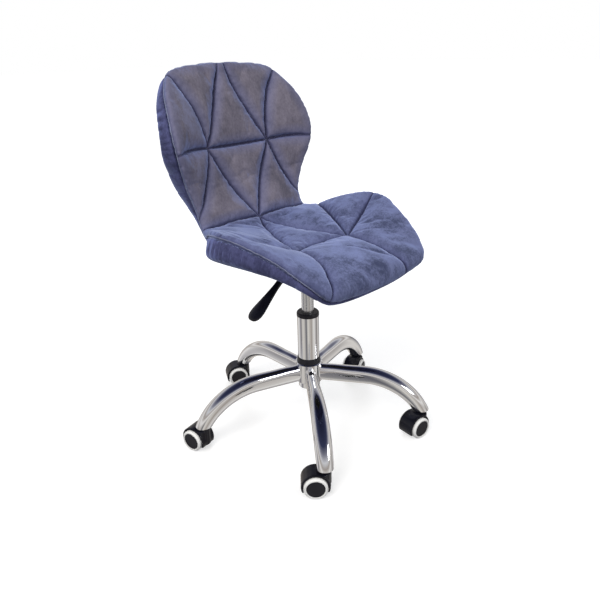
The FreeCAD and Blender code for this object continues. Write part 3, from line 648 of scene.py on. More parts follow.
pattern_map(quilted_pad, pad_flat)
divide(quilted_pad)
fine_flat = flat_places(quilted_pad)
fine_points = places(quilted_pad)
fine_out = point_normals(quilted_pad)
fine_shell = shell_normal(fine_flat[:, 0], fine_flat[:, 1])
in_front = ((fine_points - on_shell(fine_flat[:, 0], fine_flat[:, 1])) * fine_shell).sum(1) > -0.4 * MM
fine_seam, fine_place = distance_to(fine_flat, seams)
fine_edge, edge_place = distance_to(fine_flat, [closed_edge])
groove = -GROOVE_DEPTH * np.exp(-(fine_seam / GROOVE_REACH) ** 1.5)
groove -= FAINT_DEPTH * np.exp(-(distance_to(fine_flat, faint_lines)[0] / GROOVE_REACH) ** 1.5)
groove *= GROOVE_LEFT + (1 - GROOVE_LEFT) * smooth_share(fine_edge / GROOVE_FADE)
fade = np.clip(fine_seam / (2 * MM), 0, 1) * np.exp(-fine_seam / PUCKER_REACH)
pucker = PUCKER_HEIGHT * fade * ripple(fine_place, PUCKER_PITCH)
edge_fade = np.clip(fine_edge / (2 * MM), 0, 1) * np.exp(-fine_edge / PUCKER_REACH)
pucker += 0.35 * PUCKER_HEIGHT * edge_fade * ripple(edge_place, 1.3 * PUCKER_PITCH)
fine_points += fine_out * (np.where(in_front, groove + pucker, 0))[:, None]
set_places(quilted_pad, fine_points)


def keep_values(item, name, values):
    """Keep one number for each point on the mesh, for its finish to read."""
    item.data.attributes.new(name, "FLOAT", "POINT").data.foreach_set("value", np.asarray(values, np.float32))


# seam_gap, the distance to the nearest seam or the edge, sets where the velvet's painted sheen and painted shade fall
keep_values(quilted_pad, "seam_gap", np.minimum(fine_seam, fine_edge + 1 * MM) / MM)
print("quilted pad: %d points after dividing" % len(fine_points))

# %% [markdown]
# ## The plain outer cover
#
# Behind the quilting, one plain piece of velvet wraps the back of the shell and the sides of its
# foam. It meets the pad in a single seam all round. It is the same pattern pushed the other way:
# nearly square at the seam, so that it reads as a side band, and gently domed across the back.

# %% Cover: how deep it is, place by place
COVER_GRID = 7.0 * MM
COVER_DEPTH = 46.0 * MM
COVER_BULGE = 7.0 * MM     # how far the side band stands out beyond the seam
SIDE_REACH = 18.0 * MM     # how far in from the seam the side band takes to turn into the back
COVER_PLACES = np.array([0.0, 0.05, 0.2, 0.5, 0.6, 0.8, 0.94, 1.0]) * run_length
COVER_EDGE = np.array([0.16, 0.44, 0.76, 1.16, 1.20, 0.74, 0.62, 0.50]) * COVER_DEPTH
COVER_MIDDLE = np.array([0.20, 0.60, 1.0, 1.20, 1.20, 1.06, 1.02, 0.60]) * COVER_DEPTH
PLATE_MARGIN = 8.0 * MM
COVER_GAP = 0.6 * MM       # between the pad's rear sheet and the cover's own
LIP_SAG = 14.0 * MM        # how far the cover hangs below the lip's seam
LIP_FORWARD = 9.0 * MM     # and how far it stands forward of it
LIP_FULL = 70.0 * MM       # the sag holds this far back along the seat
LIP_FADE = 150.0 * MM      # and fades away over this length
LIP_WIDTH = 30.0 * MM      # how far in from the edge it holds
EVENING_SHEET = 8          # rounds of smoothing that take creases out of the cover at the hips
HIP_REACH = 70.0 * MM

cover_flat, cover_triangles = triangulate(COVER_GRID, [])
cover_gap = distance_to(cover_flat, [closed_edge])[0]
cover_here = on_shell(cover_flat[:, 0], cover_flat[:, 1])
cover_facing = shell_normal(cover_flat[:, 0], cover_flat[:, 1])
cover_across = np.clip(np.abs(cover_flat[:, 0]) / smooth(cover_flat[:, 1], sections[:, 2]), 0, 1)
edge_depth = np.interp(cover_flat[:, 1], COVER_PLACES, COVER_EDGE)
middle_depth = np.interp(cover_flat[:, 1], COVER_PLACES, COVER_MIDDLE)
cover_depth = edge_depth + (middle_depth - edge_depth) * (1 - cover_across ** 2)
cover_depth *= rounded(cover_gap, SIDE_REACH)
outer_sheet = cover_here - cover_facing * cover_depth[:, None]
outer_sheet += outward(cover_flat, cover_here, cover_triangles) * (COVER_BULGE * bulge(cover_gap, SIDE_REACH))[:, None]
lip_share = 1 - smooth_share((cover_flat[:, 1] - LIP_FULL) / LIP_FADE)
lip_move = lip_share * rounded(cover_gap, SIDE_REACH)
hang = edge_beside(cover_flat)[:, 2] - LIP_SAG - outer_sheet[:, 2]
outer_sheet[:, 2] += lip_move * np.minimum(hang, 0) * (1 - smooth_share((cover_gap - LIP_WIDTH) / LIP_FULL))
outer_sheet[:, 1] -= LIP_FORWARD * lip_move
at_hip = np.exp(-((cover_flat[:, 1] - CREASE) / HIP_REACH) ** 2)[:, None]
smoothed = evened(outer_sheet, cover_triangles, EVENING_SHEET)
outer_sheet += at_hip * (smoothed - outer_sheet)

plate_low, plate_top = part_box("mechanism_plate")
over_x = np.clip(1 - (np.abs(outer_sheet[:, 0]) - plate_top.x) / PLATE_MARGIN, 0, 1)
over_y = np.clip(1 - (np.maximum(outer_sheet[:, 1] - plate_top.y, plate_low.y - outer_sheet[:, 1])) / PLATE_MARGIN, 0, 1)
on_plate = (over_x * over_y) * (outer_sheet[:, 2] < plate_top.z + 6 * MM)
outer_sheet[:, 2] += on_plate * (plate_top.z + 0.2 * MM - outer_sheet[:, 2])

inner_sheet = rear_here - rear_facing * (pad_rear_depth(rear_flat, rear_gap) + COVER_GAP)[:, None]
cover_triangles = facing_out(cover_triangles, cover_here, -cover_facing)
cover_points, cover_faces = closed_form(outer_sheet, cover_triangles, inner_sheet, rear_triangles[:, ::-1])
outer_velvet = make_mesh("outer_velvet", cover_points, cover_faces)
cover_all_flat = np.concatenate([cover_flat, rear_flat[len(edge_points):]])
pattern_map(outer_velvet, cover_all_flat)
divide(outer_velvet)
print("outer cover: %d points" % len(outer_velvet.data.vertices))

# %% [markdown]
# ## A helper for finishes
#
# Each finish is a small network of shader nodes on the Principled surface. Steady values sit on
# the surface's own sockets. Patterns come from noise in the object's own coordinates, in metres,
# so a scale of 1000 means features about a millimetre across.

# %% Making a finish
def finish_of(name, **sockets):
    """A material with a Principled surface, its sockets set, and a helper that adds nodes to it."""
    material = bpy.data.materials.new(name)
    material.use_nodes = True
    nodes = material.node_tree.nodes
    links = material.node_tree.links
    surface = nodes["Principled BSDF"]
    for socket, value in sockets.items():
        surface.inputs[socket.replace("_", " ")].default_value = value

    def add(kind, inputs=(), **settings):
        node = nodes.new(kind)
        for setting, value in settings.items():
            setattr(node, setting, value)
        for socket, value in dict(inputs).items():
            if isinstance(value, bpy.types.NodeSocket):
                links.new(value, node.inputs[socket])
            else:
                node.inputs[socket].default_value = value
        return node

    material.diffuse_color = surface.inputs["Base Color"].default_value
    return material, surface, add, links


def noise(add, scale, detail=2.0, stretch=(1, 1, 1), source=None, roughness=0.5):
    """A noise pattern in the object's own coordinates, stretched along its axes."""
    if source is None:
        source = add("ShaderNodeTexCoord").outputs["Object"]
    mapping = add("ShaderNodeMapping", {"Vector": source, "Scale": stretch})
    return add("ShaderNodeTexNoise", {"Vector": mapping.outputs[0], "Scale": scale, "Detail": detail,
                                      "Roughness": roughness}).outputs[0]


def ramp(add, source, *stops):
    """A colour ramp through (place, colour) stops."""
    node = add("ShaderNodeValToRGB", {"Fac": source})
    elements = node.color_ramp.elements
    while len(elements) < len(stops):
        elements.new(0.5)
    for element, (place, colour) in zip(elements, stops):
        element.position = place
        element.color = (*colour, 1) if len(colour) == 3 else colour
    return node.outputs[0]


def bump(add, links, surface, height, depth, strength=1.0, below=None):
    """Relief on a surface from a height pattern, over any relief already there."""
    inputs = {"Height": height, "Distance": depth, "Strength": strength}
    if below is not None:
        inputs["Normal"] = below
    node = add("ShaderNodeBump", inputs)
    links.new(node.outputs[0], surface.inputs["Normal"])
    return node.outputs[0]


print("finish helpers ready")

# %% [markdown]
# ## Velvet
#
# Velvet is a dense pile of short upright fibres. Seen from above the fibres look dark, and where
# the cloth turns away their tips catch the light, so crowns and rolled edges glow pale. Hands and
# sitting brush the pile into lighter and darker strokes. The sheen layer gives the glow, together
# with painted sheen: a pale colour mixed into the base colour where the cloth turns away from view,
# bluer tones on the seat, and lighter, bluer slopes beside the seams. Painted shade darkens the
# cloth down in the seams, and the outer cover's darker tones are partly painted shade. Soft
# stretched noise gives the strokes, which a plain diffuse colour could not.

# %% Slate velvet for the pad, and its darker side band
def mixed_value(add, factor, first, second):
    """Two patterns mixed by a factor."""
    node = add("ShaderNodeMix", {0: factor, 2: first, 3: second}, data_type="FLOAT")
    return node.outputs[0]


def mixed_colour(add, factor, first, second, blend="MIX"):
    """Two colours mixed by a factor."""
    node = add("ShaderNodeMix", data_type="RGBA", blend_type=blend)
    for place, value in ((0, factor), (6, first), (7, second)):
        if isinstance(value, bpy.types.NodeSocket):
            node.id_data.links.new(value, node.inputs[place])
        else:
            node.inputs[place].default_value = value if place == 0 else (*value, 1)
    return node.outputs[2]


SLOPE_REACH = 26.0         # how far from a seam, in millimetres, the painted sheen makes the crowns' slopes look bluer


def two_tone(add, brushed, tones, sharp):
    """The dark and the light of the pile, by the strokes that brush it."""
    middle = 0.49
    return ramp(add, brushed, (middle - sharp, tones[0]), (middle + sharp, tones[1]))


def pile_relief(add, links, surface):
    """Tufts and single fibres as relief."""
    pile = noise(add, 2600.0, 1.0)
    tufts = noise(add, 420.0, 3.0)
    relief = bump(add, links, surface, tufts, 0.35 * MM, 0.5)
    bump(add, links, surface, pile, 0.15 * MM, 0.6, relief)


def velvet_base(name, tones, sheen):
    """A velvet surface and the strokes that brush its pile."""
    material, surface, add, links = finish_of(
        name, Base_Color=(*tones[1], 1), Roughness=0.85, Sheen_Weight=sheen, Sheen_Roughness=0.4,
        Sheen_Tint=(0.66, 0.74, 1.0, 1), Specular_IOR_Level=0.10)
    strokes = noise(add, 20.0, 6.0, (1.0, 1.0, 0.5), roughness=0.70)
    specks = noise(add, 260.0, 3.0, (1.0, 1.0, 0.6), roughness=0.7)
    return material, surface, add, links, mixed_value(add, 0.3, strokes, specks)


def painted_edge_sheen(add, brushed, colour, sheen_colour):
    """Painted sheen: a pale colour mixed into the base colour where the cloth turns away from view."""
    turned_away = add("ShaderNodeLayerWeight", {"Blend": 0.5}).outputs["Facing"]
    uneven = add("ShaderNodeMapRange", {"Value": brushed, "From Min": 0.3, "From Max": 0.7,
                                        "To Min": -0.22, "To Max": 0.22}).outputs[0]
    facing_sheen = add("ShaderNodeMath", {0: turned_away, 1: uneven}, operation="ADD").outputs[0]
    share = add("ShaderNodeMapRange", {"Value": facing_sheen, "From Min": 0.28, "From Max": 0.95},
                interpolation_type="SMOOTHSTEP").outputs[0]
    return mixed_colour(add, share, colour, sheen_colour)


def quilted_velvet(name, back_tones, seat_sheen_tones, slope_sheen, sheen_colour, sheen):
    """Velvet sewn in panels: bluer and more brushed on the seat, the blue a painted sheen; a painted sheen on the
    slopes beside the seams; painted shade down in them.
    """
    material, surface, add, links, brushed = velvet_base(name, back_tones, sheen)
    run_place = add("ShaderNodeUVMap", uv_map="pattern").outputs[0]
    along = add("ShaderNodeSeparateXYZ", {0: run_place}).outputs["Y"]
    # painted sheen: the seat's tones are bluer than the back's, standing for the sheen the seat shows, over its real
    # brushed strokes
    on_seat = add("ShaderNodeMapRange", {"Value": along, "From Min": float(CREASE + 30 * MM),
                                         "From Max": float(CREASE - 20 * MM)}).outputs[0]
    back = two_tone(add, brushed, back_tones, 0.12)
    seat = two_tone(add, brushed, seat_sheen_tones, 0.075)
    colour = mixed_colour(add, on_seat, back, seat)
    gap = add("ShaderNodeAttribute", attribute_name="seam_gap", attribute_type="GEOMETRY").outputs["Fac"]
    reach = add("ShaderNodeMapRange", {"Value": gap, "From Min": 0.0, "From Max": SLOPE_REACH}).outputs[0]
    # painted sheen: the crowns' slopes beside each seam mixed towards a lighter, bluer colour
    sheen_by_seam = ramp(add, reach, (0.0, (0.6, 0.6, 0.6)), (0.25, (0.40, 0.40, 0.40)), (1.0, (0.0, 0.0, 0.0)))
    colour = mixed_colour(add, sheen_by_seam, colour, slope_sheen)
    # painted sheen: a pale colour where the cloth turns away from view
    colour = painted_edge_sheen(add, brushed, colour, sheen_colour)
    # painted shade: the cloth darkened down in each seam and just beside it, where the groove shades it
    shade = ramp(add, reach, (0.0, (0.22, 0.21, 0.27)), (0.045, (0.48, 0.47, 0.54)),
                 (0.11, (0.88, 0.88, 0.92)), (0.20, (1.0, 1.0, 1.0)))
    colour = mixed_colour(add, 1.0, colour, shade, "MULTIPLY")
    links.new(colour, surface.inputs["Base Color"])
    pile_relief(add, links, surface)
    return material


def plain_velvet(name, tones, sheen_colour, sheen):
    """Velvet stretched plain, with its strokes and its pale tips."""
    material, surface, add, links, brushed = velvet_base(name, tones, sheen)
    # painted sheen: a pale colour where the cloth turns away from view
    colour = painted_edge_sheen(add, brushed, two_tone(add, brushed, tones, 0.12), sheen_colour)
    links.new(colour, surface.inputs["Base Color"])
    pile_relief(add, links, surface)
    return material


# pad velvet: the back's tones, the seat's bluer tones as painted sheen, a painted sheen colour for the slopes beside
# the seams, and a pale painted sheen colour where the cloth turns away
pad_velvet = quilted_velvet("slate_velvet", [(0.100, 0.092, 0.122), (0.205, 0.186, 0.235)],
                            [(0.050, 0.060, 0.125), (0.135, 0.155, 0.290)],
                            (0.130, 0.145, 0.290), (0.185, 0.225, 0.450), 0.5)
# the outer cover's darker tones are partly painted shade: they follow the band where it lies in shade under the seat
band_velvet = plain_velvet("slate_velvet_band", [(0.036, 0.038, 0.090), (0.090, 0.096, 0.215)],
                           (0.150, 0.180, 0.430), 0.45)
piping_velvet = plain_velvet("slate_piping", [(0.120, 0.130, 0.210), (0.220, 0.235, 0.340)],
                             (0.30, 0.34, 0.52), 0.3)
thread, surface, add, links = finish_of("grey_thread", Base_Color=(0.10, 0.11, 0.18, 1), Roughness=0.6)
twist = noise(add, 1800.0, 1.0, (1, 1, 3))
links.new(ramp(add, twist, (0.3, (0.06, 0.065, 0.11)), (0.7, (0.16, 0.17, 0.26))), surface.inputs["Base Color"])
quilted_pad.data.materials.append(pad_velvet)
outer_velvet.data.materials.append(band_velvet)
print("velvet on", quilted_pad.name, "and", outer_velvet.name)

# %% [markdown]
# ## Piping and stitches
#
# A thin piping closes the seam between the pad and the cover, and a row of thread shows down in
# each seam of the quilting. Both only follow lines, so each line is laid on the finished cloth as
# a chain of points, and a Geometry Nodes tree grows a tube along it or sets a stitch at each step.
# One tree serves any line, and a change of its thickness or pitch is one number.

# %% Lines laid on the finished cloth
PIPING_RADIUS = 1.1 * MM
THREAD_RADIUS = 0.42 * MM
STITCH_PITCH = 4.2 * MM
STITCH_LENGTH = 3.0 * MM
front_numbers = np.flatnonzero(in_front)
pattern_tree = KDTree(len(front_numbers))
for number in front_numbers:
    pattern_tree.insert((fine_flat[number, 0], fine_flat[number, 1], 0), int(number))
pattern_tree.balance()


def laid_on_pad(line, lift):
    """A line of the pattern as points on the quilted pad, lifted a little off it."""
    found = []
    for place in line:
        near = pattern_tree.find_n((place[0], place[1], 0), 3)
        weights = np.array([1 / (gap + 0.2 * MM) for _, _, gap in near])
        numbers = [number for _, number, _ in near]
        surface_point = (fine_points[numbers] * weights[:, None]).sum(0) / weights.sum()
        way_out = (fine_out[numbers] * weights[:, None]).sum(0)
        found.append(surface_point + way_out / np.linalg.norm(way_out) * lift)
    return np.array(found)


def chain(name, lines, closed=False):
    """A mesh of points joined in chains, for a tree to grow along."""
    mesh = bpy.data.meshes.new(name)
    points = np.concatenate(lines)
    joins = []
    first = 0
    for line in lines:
        joins += [(first + i, first + i + 1) for i in range(len(line) - 1)]
        if closed:
            joins.append((first + len(line) - 1, first))
        first += len(line)
    mesh.from_pydata([tuple(p) for p in points], joins, [])
    item = bpy.data.objects.new(name, mesh)
    bpy.context.scene.collection.objects.link(item)
    return item


print("lines laid on the pad: %d seams and one edge" % len(seams))


# %% A tree that grows something along a chain
def new_tree(name, sizes):
    """A Geometry Nodes tree with named sizes, and helpers to add its nodes."""
    tree = bpy.data.node_groups.new(name, "GeometryNodeTree")
    tree.is_modifier = True
    tree.interface.new_socket("Geometry", in_out="INPUT", socket_type="NodeSocketGeometry")
    for size_name in sizes:
        tree.interface.new_socket(size_name, in_out="INPUT", socket_type="NodeSocketFloat")
    tree.interface.new_socket("Geometry", in_out="OUTPUT", socket_type="NodeSocketGeometry")

    def step(kind, inputs=(), **settings):
        node = tree.nodes.new(kind)
        for setting, value in settings.items():
            setattr(node, setting, value)
        for socket, value in dict(inputs).items():
            if isinstance(value, bpy.types.NodeSocket):
                tree.links.new(value, node.inputs[socket])
            else:
                node.inputs[socket].default_value = value
        return node.outputs[0] if node.outputs else node

    given = tree.nodes.new("NodeGroupInput")
    curve = step("GeometryNodeMeshToCurve", {"Mesh": given.outputs["Geometry"]})
    return tree, given, step, curve


def end_tree(tree, step, grown, material):
    """Make the result real, give it its finish and hand it out."""
    real = step("GeometryNodeRealizeInstances", {"Geometry": grown})
    smooth_shape = step("GeometryNodeSetShadeSmooth", {"Geometry": real})
    finished = step("GeometryNodeSetMaterial", {"Geometry": smooth_shape, "Material": material})
    step("NodeGroupOutput", {"Geometry": finished})


def grow(item, tree, sizes):
    """Run a tree on a chain and keep its result as a plain mesh."""
    modifier = item.modifiers.new("grow", "NODES")
    modifier.node_group = tree
    for socket in tree.interface.items_tree:
        if socket.in_out == "INPUT" and socket.name in sizes:
            modifier[socket.identifier] = sizes[socket.name]
    item.update_tag()
    evaluated = item.evaluated_get(bpy.context.evaluated_depsgraph_get())
    mesh = bpy.data.meshes.new_from_object(evaluated)
    item.modifiers.clear()
    item.data = mesh
    print("%s: %d faces" % (item.name, len(mesh.polygons)))


# %% Piping round the edge
piping_tree, given, step, curve = new_tree("piping_along_edge", ["Radius", "Step"])
even_curve = step("GeometryNodeResampleCurve", {"Curve": curve, "Length": given.outputs["Step"]}, mode="LENGTH")
round_section = step("GeometryNodeCurvePrimitiveCircle", {"Resolution": 8, "Radius": given.outputs["Radius"]})
tube = step("GeometryNodeCurveToMesh", {"Curve": even_curve, "Profile Curve": round_section})
end_tree(piping_tree, step, tube, piping_velvet)
edge_piping = chain("edge_piping", [laid_on_pad(spaced(closed_edge, GRID)[:-1], 0.5 * MM)], closed=True)
grow(edge_piping, piping_tree, {"Radius": PIPING_RADIUS, "Step": 4 * MM})

# %% Stitches down in the seams
stitch_tree, given, step, curve = new_tree("stitches_along_seam", ["Radius", "Pitch", "Length"])
even_curve = step("GeometryNodeResampleCurve", {"Curve": curve, "Length": given.outputs["Pitch"]}, mode="LENGTH")
bead = step("GeometryNodeMeshUVSphere", {"Segments": 6, "Rings": 4, "Radius": 1.0})
half_length = step("ShaderNodeMath", {0: given.outputs["Length"], 1: 0.5}, operation="MULTIPLY")
bead_size = step("ShaderNodeCombineXYZ", {0: given.outputs["Radius"], 1: given.outputs["Radius"], 2: half_length})
pull = step("FunctionNodeRandomValue", {2: 0.85, 3: 1.1, "Seed": 11}, data_type="FLOAT").node.outputs[1]
stitch_size = step("ShaderNodeVectorMath", {0: bead_size, "Scale": pull}, operation="SCALE")
lie = step("FunctionNodeAlignRotationToVector", {"Vector": step("GeometryNodeInputTangent")}, axis="Z")
row = step("GeometryNodeInstanceOnPoints", {"Points": even_curve, "Instance": bead, "Rotation": lie,
                                            "Scale": stitch_size})
end_tree(stitch_tree, step, row, thread)
seam_stitches = chain("seam_stitches", [laid_on_pad(line, 0.45 * MM) for line in seams])
grow(seam_stitches, stitch_tree, {"Radius": THREAD_RADIUS, "Pitch": STITCH_PITCH, "Length": STITCH_LENGTH})

# %% [markdown]
# ## Hard finishes
#
# Bright chrome has hardly any colour of its own: what shows is the room, broken by faint
# polishing marks. The lift's ground rod is brushed round its axis, the moulded nylon hoods have a
# fine grain, and the soft tyres are matt. Each gets its own roughness and relief.

# %% Metals
def metal(name, colour, rough_low, rough_high, scale, stretch, depth, coat=0.0):
    """A metal whose roughness varies between two values along a stretched grain."""
    material, surface, add, links = finish_of(name, Base_Color=(*colour, 1), Metallic=1.0, Roughness=rough_low,
                                              Coat_Weight=coat)
    grain = noise(add, scale, 3.0, stretch)
    rough = add("ShaderNodeMapRange", {"Value": grain, "To Min": rough_low, "To Max": rough_high})
    links.new(rough.outputs[0], surface.inputs["Roughness"])
    bump(add, links, surface, grain, depth, 0.3)
    return material


chrome = metal("bright_chrome", (0.86, 0.865, 0.88), 0.035, 0.085, 55.0, (1, 1, 1), 0.004 * MM)
ground_steel = metal("ground_steel", (0.66, 0.67, 0.69), 0.20, 0.34, 90.0, (1, 1, 14), 0.01 * MM)
zinc = metal("zinc_plate", (0.58, 0.60, 0.62), 0.25, 0.42, 400.0, (1, 1, 1), 0.02 * MM)


# %% Painted steel, plastics, rubber and wood
def moulded(name, colour, lighter, roughness, scale, depth, coat=0.0):
    """A plastic, rubber or paint with a moulded grain and slight colour variation."""
    material, surface, add, links = finish_of(name, Base_Color=(*colour, 1), Roughness=roughness,
                                              Coat_Weight=coat, Coat_Roughness=0.15, Specular_IOR_Level=0.28)
    cloud = noise(add, 45.0, 4.0)
    links.new(ramp(add, cloud, (0.35, colour), (0.7, lighter)), surface.inputs["Base Color"])
    grain = noise(add, scale, 2.0)
    rough = add("ShaderNodeMapRange", {"Value": grain, "To Min": roughness - 0.06, "To Max": roughness + 0.10})
    links.new(rough.outputs[0], surface.inputs["Roughness"])
    bump(add, links, surface, grain, depth, 0.4)
    return material


black_paint = moulded("black_powder_coat", (0.018, 0.018, 0.020), (0.030, 0.030, 0.033), 0.42, 1500.0, 0.05 * MM)
black_nylon = moulded("black_nylon", (0.008, 0.008, 0.012), (0.015, 0.015, 0.021), 0.36, 1300.0, 0.02 * MM)
black_gloss = moulded("black_gloss_nylon", (0.006, 0.006, 0.010), (0.011, 0.012, 0.020), 0.16, 900.0, 0.01 * MM)
white_tread = moulded("white_tread", (0.90, 0.90, 0.885), (0.96, 0.96, 0.95), 0.48, 700.0, 0.03 * MM)
dull_rubber = moulded("dull_rubber", (0.03, 0.03, 0.03), (0.05, 0.05, 0.05), 0.75, 900.0, 0.05 * MM)
plywood, surface, add, links = finish_of("moulded_plywood", Base_Color=(0.50, 0.34, 0.19, 1), Roughness=0.6)
fibres = noise(add, 60.0, 5.0, (1, 0.08, 0.08))
links.new(ramp(add, fibres, (0.3, (0.34, 0.21, 0.10)), (0.7, (0.60, 0.43, 0.25))), surface.inputs["Base Color"])
bump(add, links, surface, fibres, 0.1 * MM, 0.4)

SLOT_FINISH = {
    "velvet_pad": pad_velvet, "velvet_cover": band_velvet, "plywood": plywood, "zinc_steel": zinc,
    "black_steel": black_paint, "cylinder_steel": ground_steel, "chrome": chrome, "black_plastic": black_nylon,
    "black_gloss_plastic": black_gloss, "white_tyre": white_tread, "rubber": dull_rubber,
}
SMOOTH_ANGLE = math.radians(32)
for part in frame["record"]["subparts"]:
    node = frame["nodes"][part["node"]]
    node.data.materials.clear()
    node.data.materials.append(SLOT_FINISH[part["material_slot"]])
print("finishes:", len(SLOT_FINISH), "slots on", len(frame["nodes"]), "frame nodes")

# %% What the upholstery stands for, and how it rides
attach(quilted_pad, "seat")
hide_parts("seat_pad")
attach(outer_velvet, "seat")
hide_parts("outer_cover")
for sewn_on in (edge_piping, seam_stitches):
    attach(sewn_on, "seat")
print("the pad, the cover, the piping and the stitches ride on the seat")

# %% [markdown]
# ## Floor, light and camera
#
# A plain pale sweep and large soft lamps, as in a small product studio. Chrome needs something
# dark to reflect or it looks like grey paint, so the room above and around is dim for reflections
# only, while the cloth is filled evenly from all sides.

# %% Floor
bpy.ops.mesh.primitive_plane_add(size=60.0)
floor = bpy.context.active_object
floor.name = "studio_floor"
floor_white, surface, add, links = finish_of("studio_floor_white", Base_Color=(0.60, 0.60, 0.60, 1), Roughness=0.9,
                                             Emission_Color=(1, 1, 1, 1), Specular_IOR_Level=0.0)
floor_place = add("ShaderNodeTexCoord").outputs["Object"]
away = add("ShaderNodeVectorMath", {0: floor_place}, operation="LENGTH").outputs["Value"]
sweep = add("ShaderNodeMapRange", {"Value": away, "From Min": 0.45, "From Max": 2.2, "To Min": 0.54, "To Max": 0.85})
links.new(sweep.outputs[0], surface.inputs["Emission Strength"])
floor.visible_glossy = False
floor.visible_diffuse = False
floor.data.materials.append(floor_white)


# %% Light
def lamp(name, place, target, width, length, power, colour=(1, 1, 1), in_gloss=True):
    """A soft rectangular lamp that faces a target."""
    light = bpy.data.lights.new(name, "AREA")
    light.shape = "RECTANGLE"
    light.size = width
    light.size_y = length
    light.energy = power
    light.color = colour
    item = bpy.data.objects.new(name, light)
    item.location = place
    item.rotation_euler = (Vector(target) - Vector(place)).to_track_quat("-Z", "Y").to_euler()
    item.visible_glossy = in_gloss
    bpy.context.scene.collection.objects.link(item)
    return item


lamp("key_lamp", (-2.0, -0.6, 2.3), (0, 0, 0.45), 1.5, 1.5, 52, (1.0, 0.98, 0.95), in_gloss=False)
lamp("front_lamp", (0.4, -2.8, 1.5), (0, 0, 0.35), 1.2, 0.7, 20)
lamp("rim_lamp", (1.7, 1.9, 1.6), (0, 0, 0.5), 0.8, 1.4, 26, (0.90, 0.94, 1.0), in_gloss=False)

world = bpy.data.worlds.new("studio")
bpy.context.scene.world = world
world.use_nodes = True
nodes = world.node_tree.nodes
links = world.node_tree.links


def sky(colour, strength):
    """One way for the room to shine."""
    node = nodes.new("ShaderNodeBackground")
    node.inputs["Color"].default_value = (*colour, 1)
    node.inputs["Strength"].default_value = strength
    return node


def choose(test, otherwise, chosen):
    """The room that one kind of ray meets, and the room that the others meet."""
    node = nodes.new("ShaderNodeMixShader")
    links.new(test, node.inputs[0])
    links.new(otherwise.outputs[0], node.inputs[1])
    links.new(chosen.outputs[0], node.inputs[2])
    return node


def tone_ramp(factor, tones):
    """A colour ramp in the room's own nodes."""
    node = nodes.new("ShaderNodeValToRGB")
    while len(node.color_ramp.elements) < len(tones):
        node.color_ramp.elements.new(0.5)
    for element, (place, colour) in zip(node.color_ramp.elements, tones):
        element.position = place
        element.color = (*colour, 1)
    links.new(factor, node.inputs["Fac"])
    return node.outputs[0]


def room_node(kind, inputs, **settings):
    """A node of the room, with its inputs linked or set."""
    node = nodes.new(kind)
    for setting, value in settings.items():
        setattr(node, setting, value)
    for socket, value in inputs.items():
        if isinstance(value, bpy.types.NodeSocket):
            links.new(value, node.inputs[socket])
        else:
            node.inputs[socket].default_value = value
    return node


ABOVE_TONES = [
    # height of the direction looked in, from level to straight up: warm wall, pale cloud, dark navy ceiling
    (0.00, (0.50, 0.47, 0.44)), (0.14, (0.80, 0.78, 0.76)), (0.28, (0.36, 0.32, 0.29)), (0.42, (0.62, 0.62, 0.64)),
    (0.58, (0.22, 0.22, 0.27)), (0.74, (0.035, 0.040, 0.085)), (1.00, (0.012, 0.014, 0.035)),
]
BELOW_TONES = [
    # place round the room: pale and dark stretches of the studio, seen low down
    (0.00, (0.62, 0.59, 0.55)), (0.07, (0.12, 0.12, 0.14)), (0.12, (0.70, 0.67, 0.62)), (0.22, (0.36, 0.32, 0.29)),
    (0.30, (0.80, 0.78, 0.75)), (0.40, (0.22, 0.20, 0.20)), (0.47, (0.72, 0.69, 0.65)), (0.56, (0.10, 0.10, 0.13)),
    (0.62, (0.64, 0.60, 0.55)), (0.72, (0.42, 0.38, 0.35)), (0.80, (0.82, 0.80, 0.78)), (0.90, (0.18, 0.17, 0.19)),
    (0.95, (0.62, 0.59, 0.55)),
]
direction = nodes.new("ShaderNodeTexCoord").outputs["Generated"]
height = room_node("ShaderNodeSeparateXYZ", {0: direction}).outputs["Z"]
round_room = room_node("ShaderNodeTexGradient", {"Vector": direction}, gradient_type="RADIAL").outputs["Fac"]
above = tone_ramp(height, ABOVE_TONES)
below = tone_ramp(round_room, BELOW_TONES)
low_down = room_node("ShaderNodeMapRange", {"Value": height, "From Min": 0.05, "From Max": -0.10}).outputs[0]
tones = room_node("ShaderNodeMix", {0: low_down, 6: above, 7: below}, data_type="RGBA").outputs[2]
reflected = sky((1, 1, 1), 1.0)
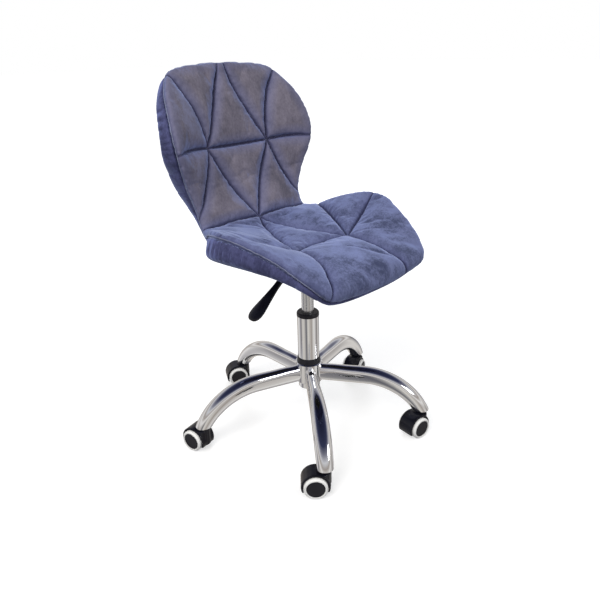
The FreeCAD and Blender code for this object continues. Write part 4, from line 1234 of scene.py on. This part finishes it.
links.new(tones, reflected.inputs["Color"])
rays = nodes.new("ShaderNodeLightPath")
soft_fill = sky((0.95, 0.97, 1.0), 0.50)
fill_tones = tone_ramp(room_node("ShaderNodeMapRange", {"Value": height, "From Min": -0.5, "From Max": 0.3}).outputs[0],
                       [(0.0, (0.16, 0.16, 0.20)), (1.0, (1.0, 1.0, 1.0))])
links.new(fill_tones, soft_fill.inputs["Color"])
seen = sky((1, 1, 1), 1.0)
room = choose(rays.outputs["Is Glossy Ray"], soft_fill, reflected)
room = choose(rays.outputs["Is Camera Ray"], room, seen)
links.new(room.outputs[0], nodes["World Output"].inputs[0])
nodes.remove(nodes["Background"])
bpy.context.scene.view_settings.view_transform = "Standard"
print("lamps and room ready")

# %% Camera
CAMERA_TURN = math.radians(-44.5)
CAMERA_TILT = math.radians(22.75)
CAMERA_ROLL = math.radians(-1.59)
CAMERA_AWAY = 1.355
CAMERA_HEIGHT = 0.318
CAMERA_ASIDE = -0.017
towards = Vector((math.sin(CAMERA_TURN) * math.cos(CAMERA_TILT),
                  -math.cos(CAMERA_TURN) * math.cos(CAMERA_TILT), math.sin(CAMERA_TILT)))
right = Vector((math.cos(CAMERA_TURN), math.sin(CAMERA_TURN), 0))
up = towards.cross(right)
rolled_right = math.cos(CAMERA_ROLL) * right + math.sin(CAMERA_ROLL) * up
rolled_up = -math.sin(CAMERA_ROLL) * right + math.cos(CAMERA_ROLL) * up
eye = towards * CAMERA_AWAY + Vector((0, 0, CAMERA_HEIGHT)) + right * CAMERA_ASIDE
camera = bpy.data.objects.new("camera", bpy.data.cameras.new("camera"))
camera.data.lens = 36
camera.data.sensor_width = 36
camera.matrix_world = Matrix((
    (rolled_right.x, rolled_up.x, towards.x, eye.x),
    (rolled_right.y, rolled_up.y, towards.y, eye.y),
    (rolled_right.z, rolled_up.z, towards.z, eye.z),
    (0, 0, 0, 1)))
bpy.context.scene.collection.objects.link(camera)
bpy.context.scene.camera = camera
print("camera at", [round(v, 3) for v in eye])
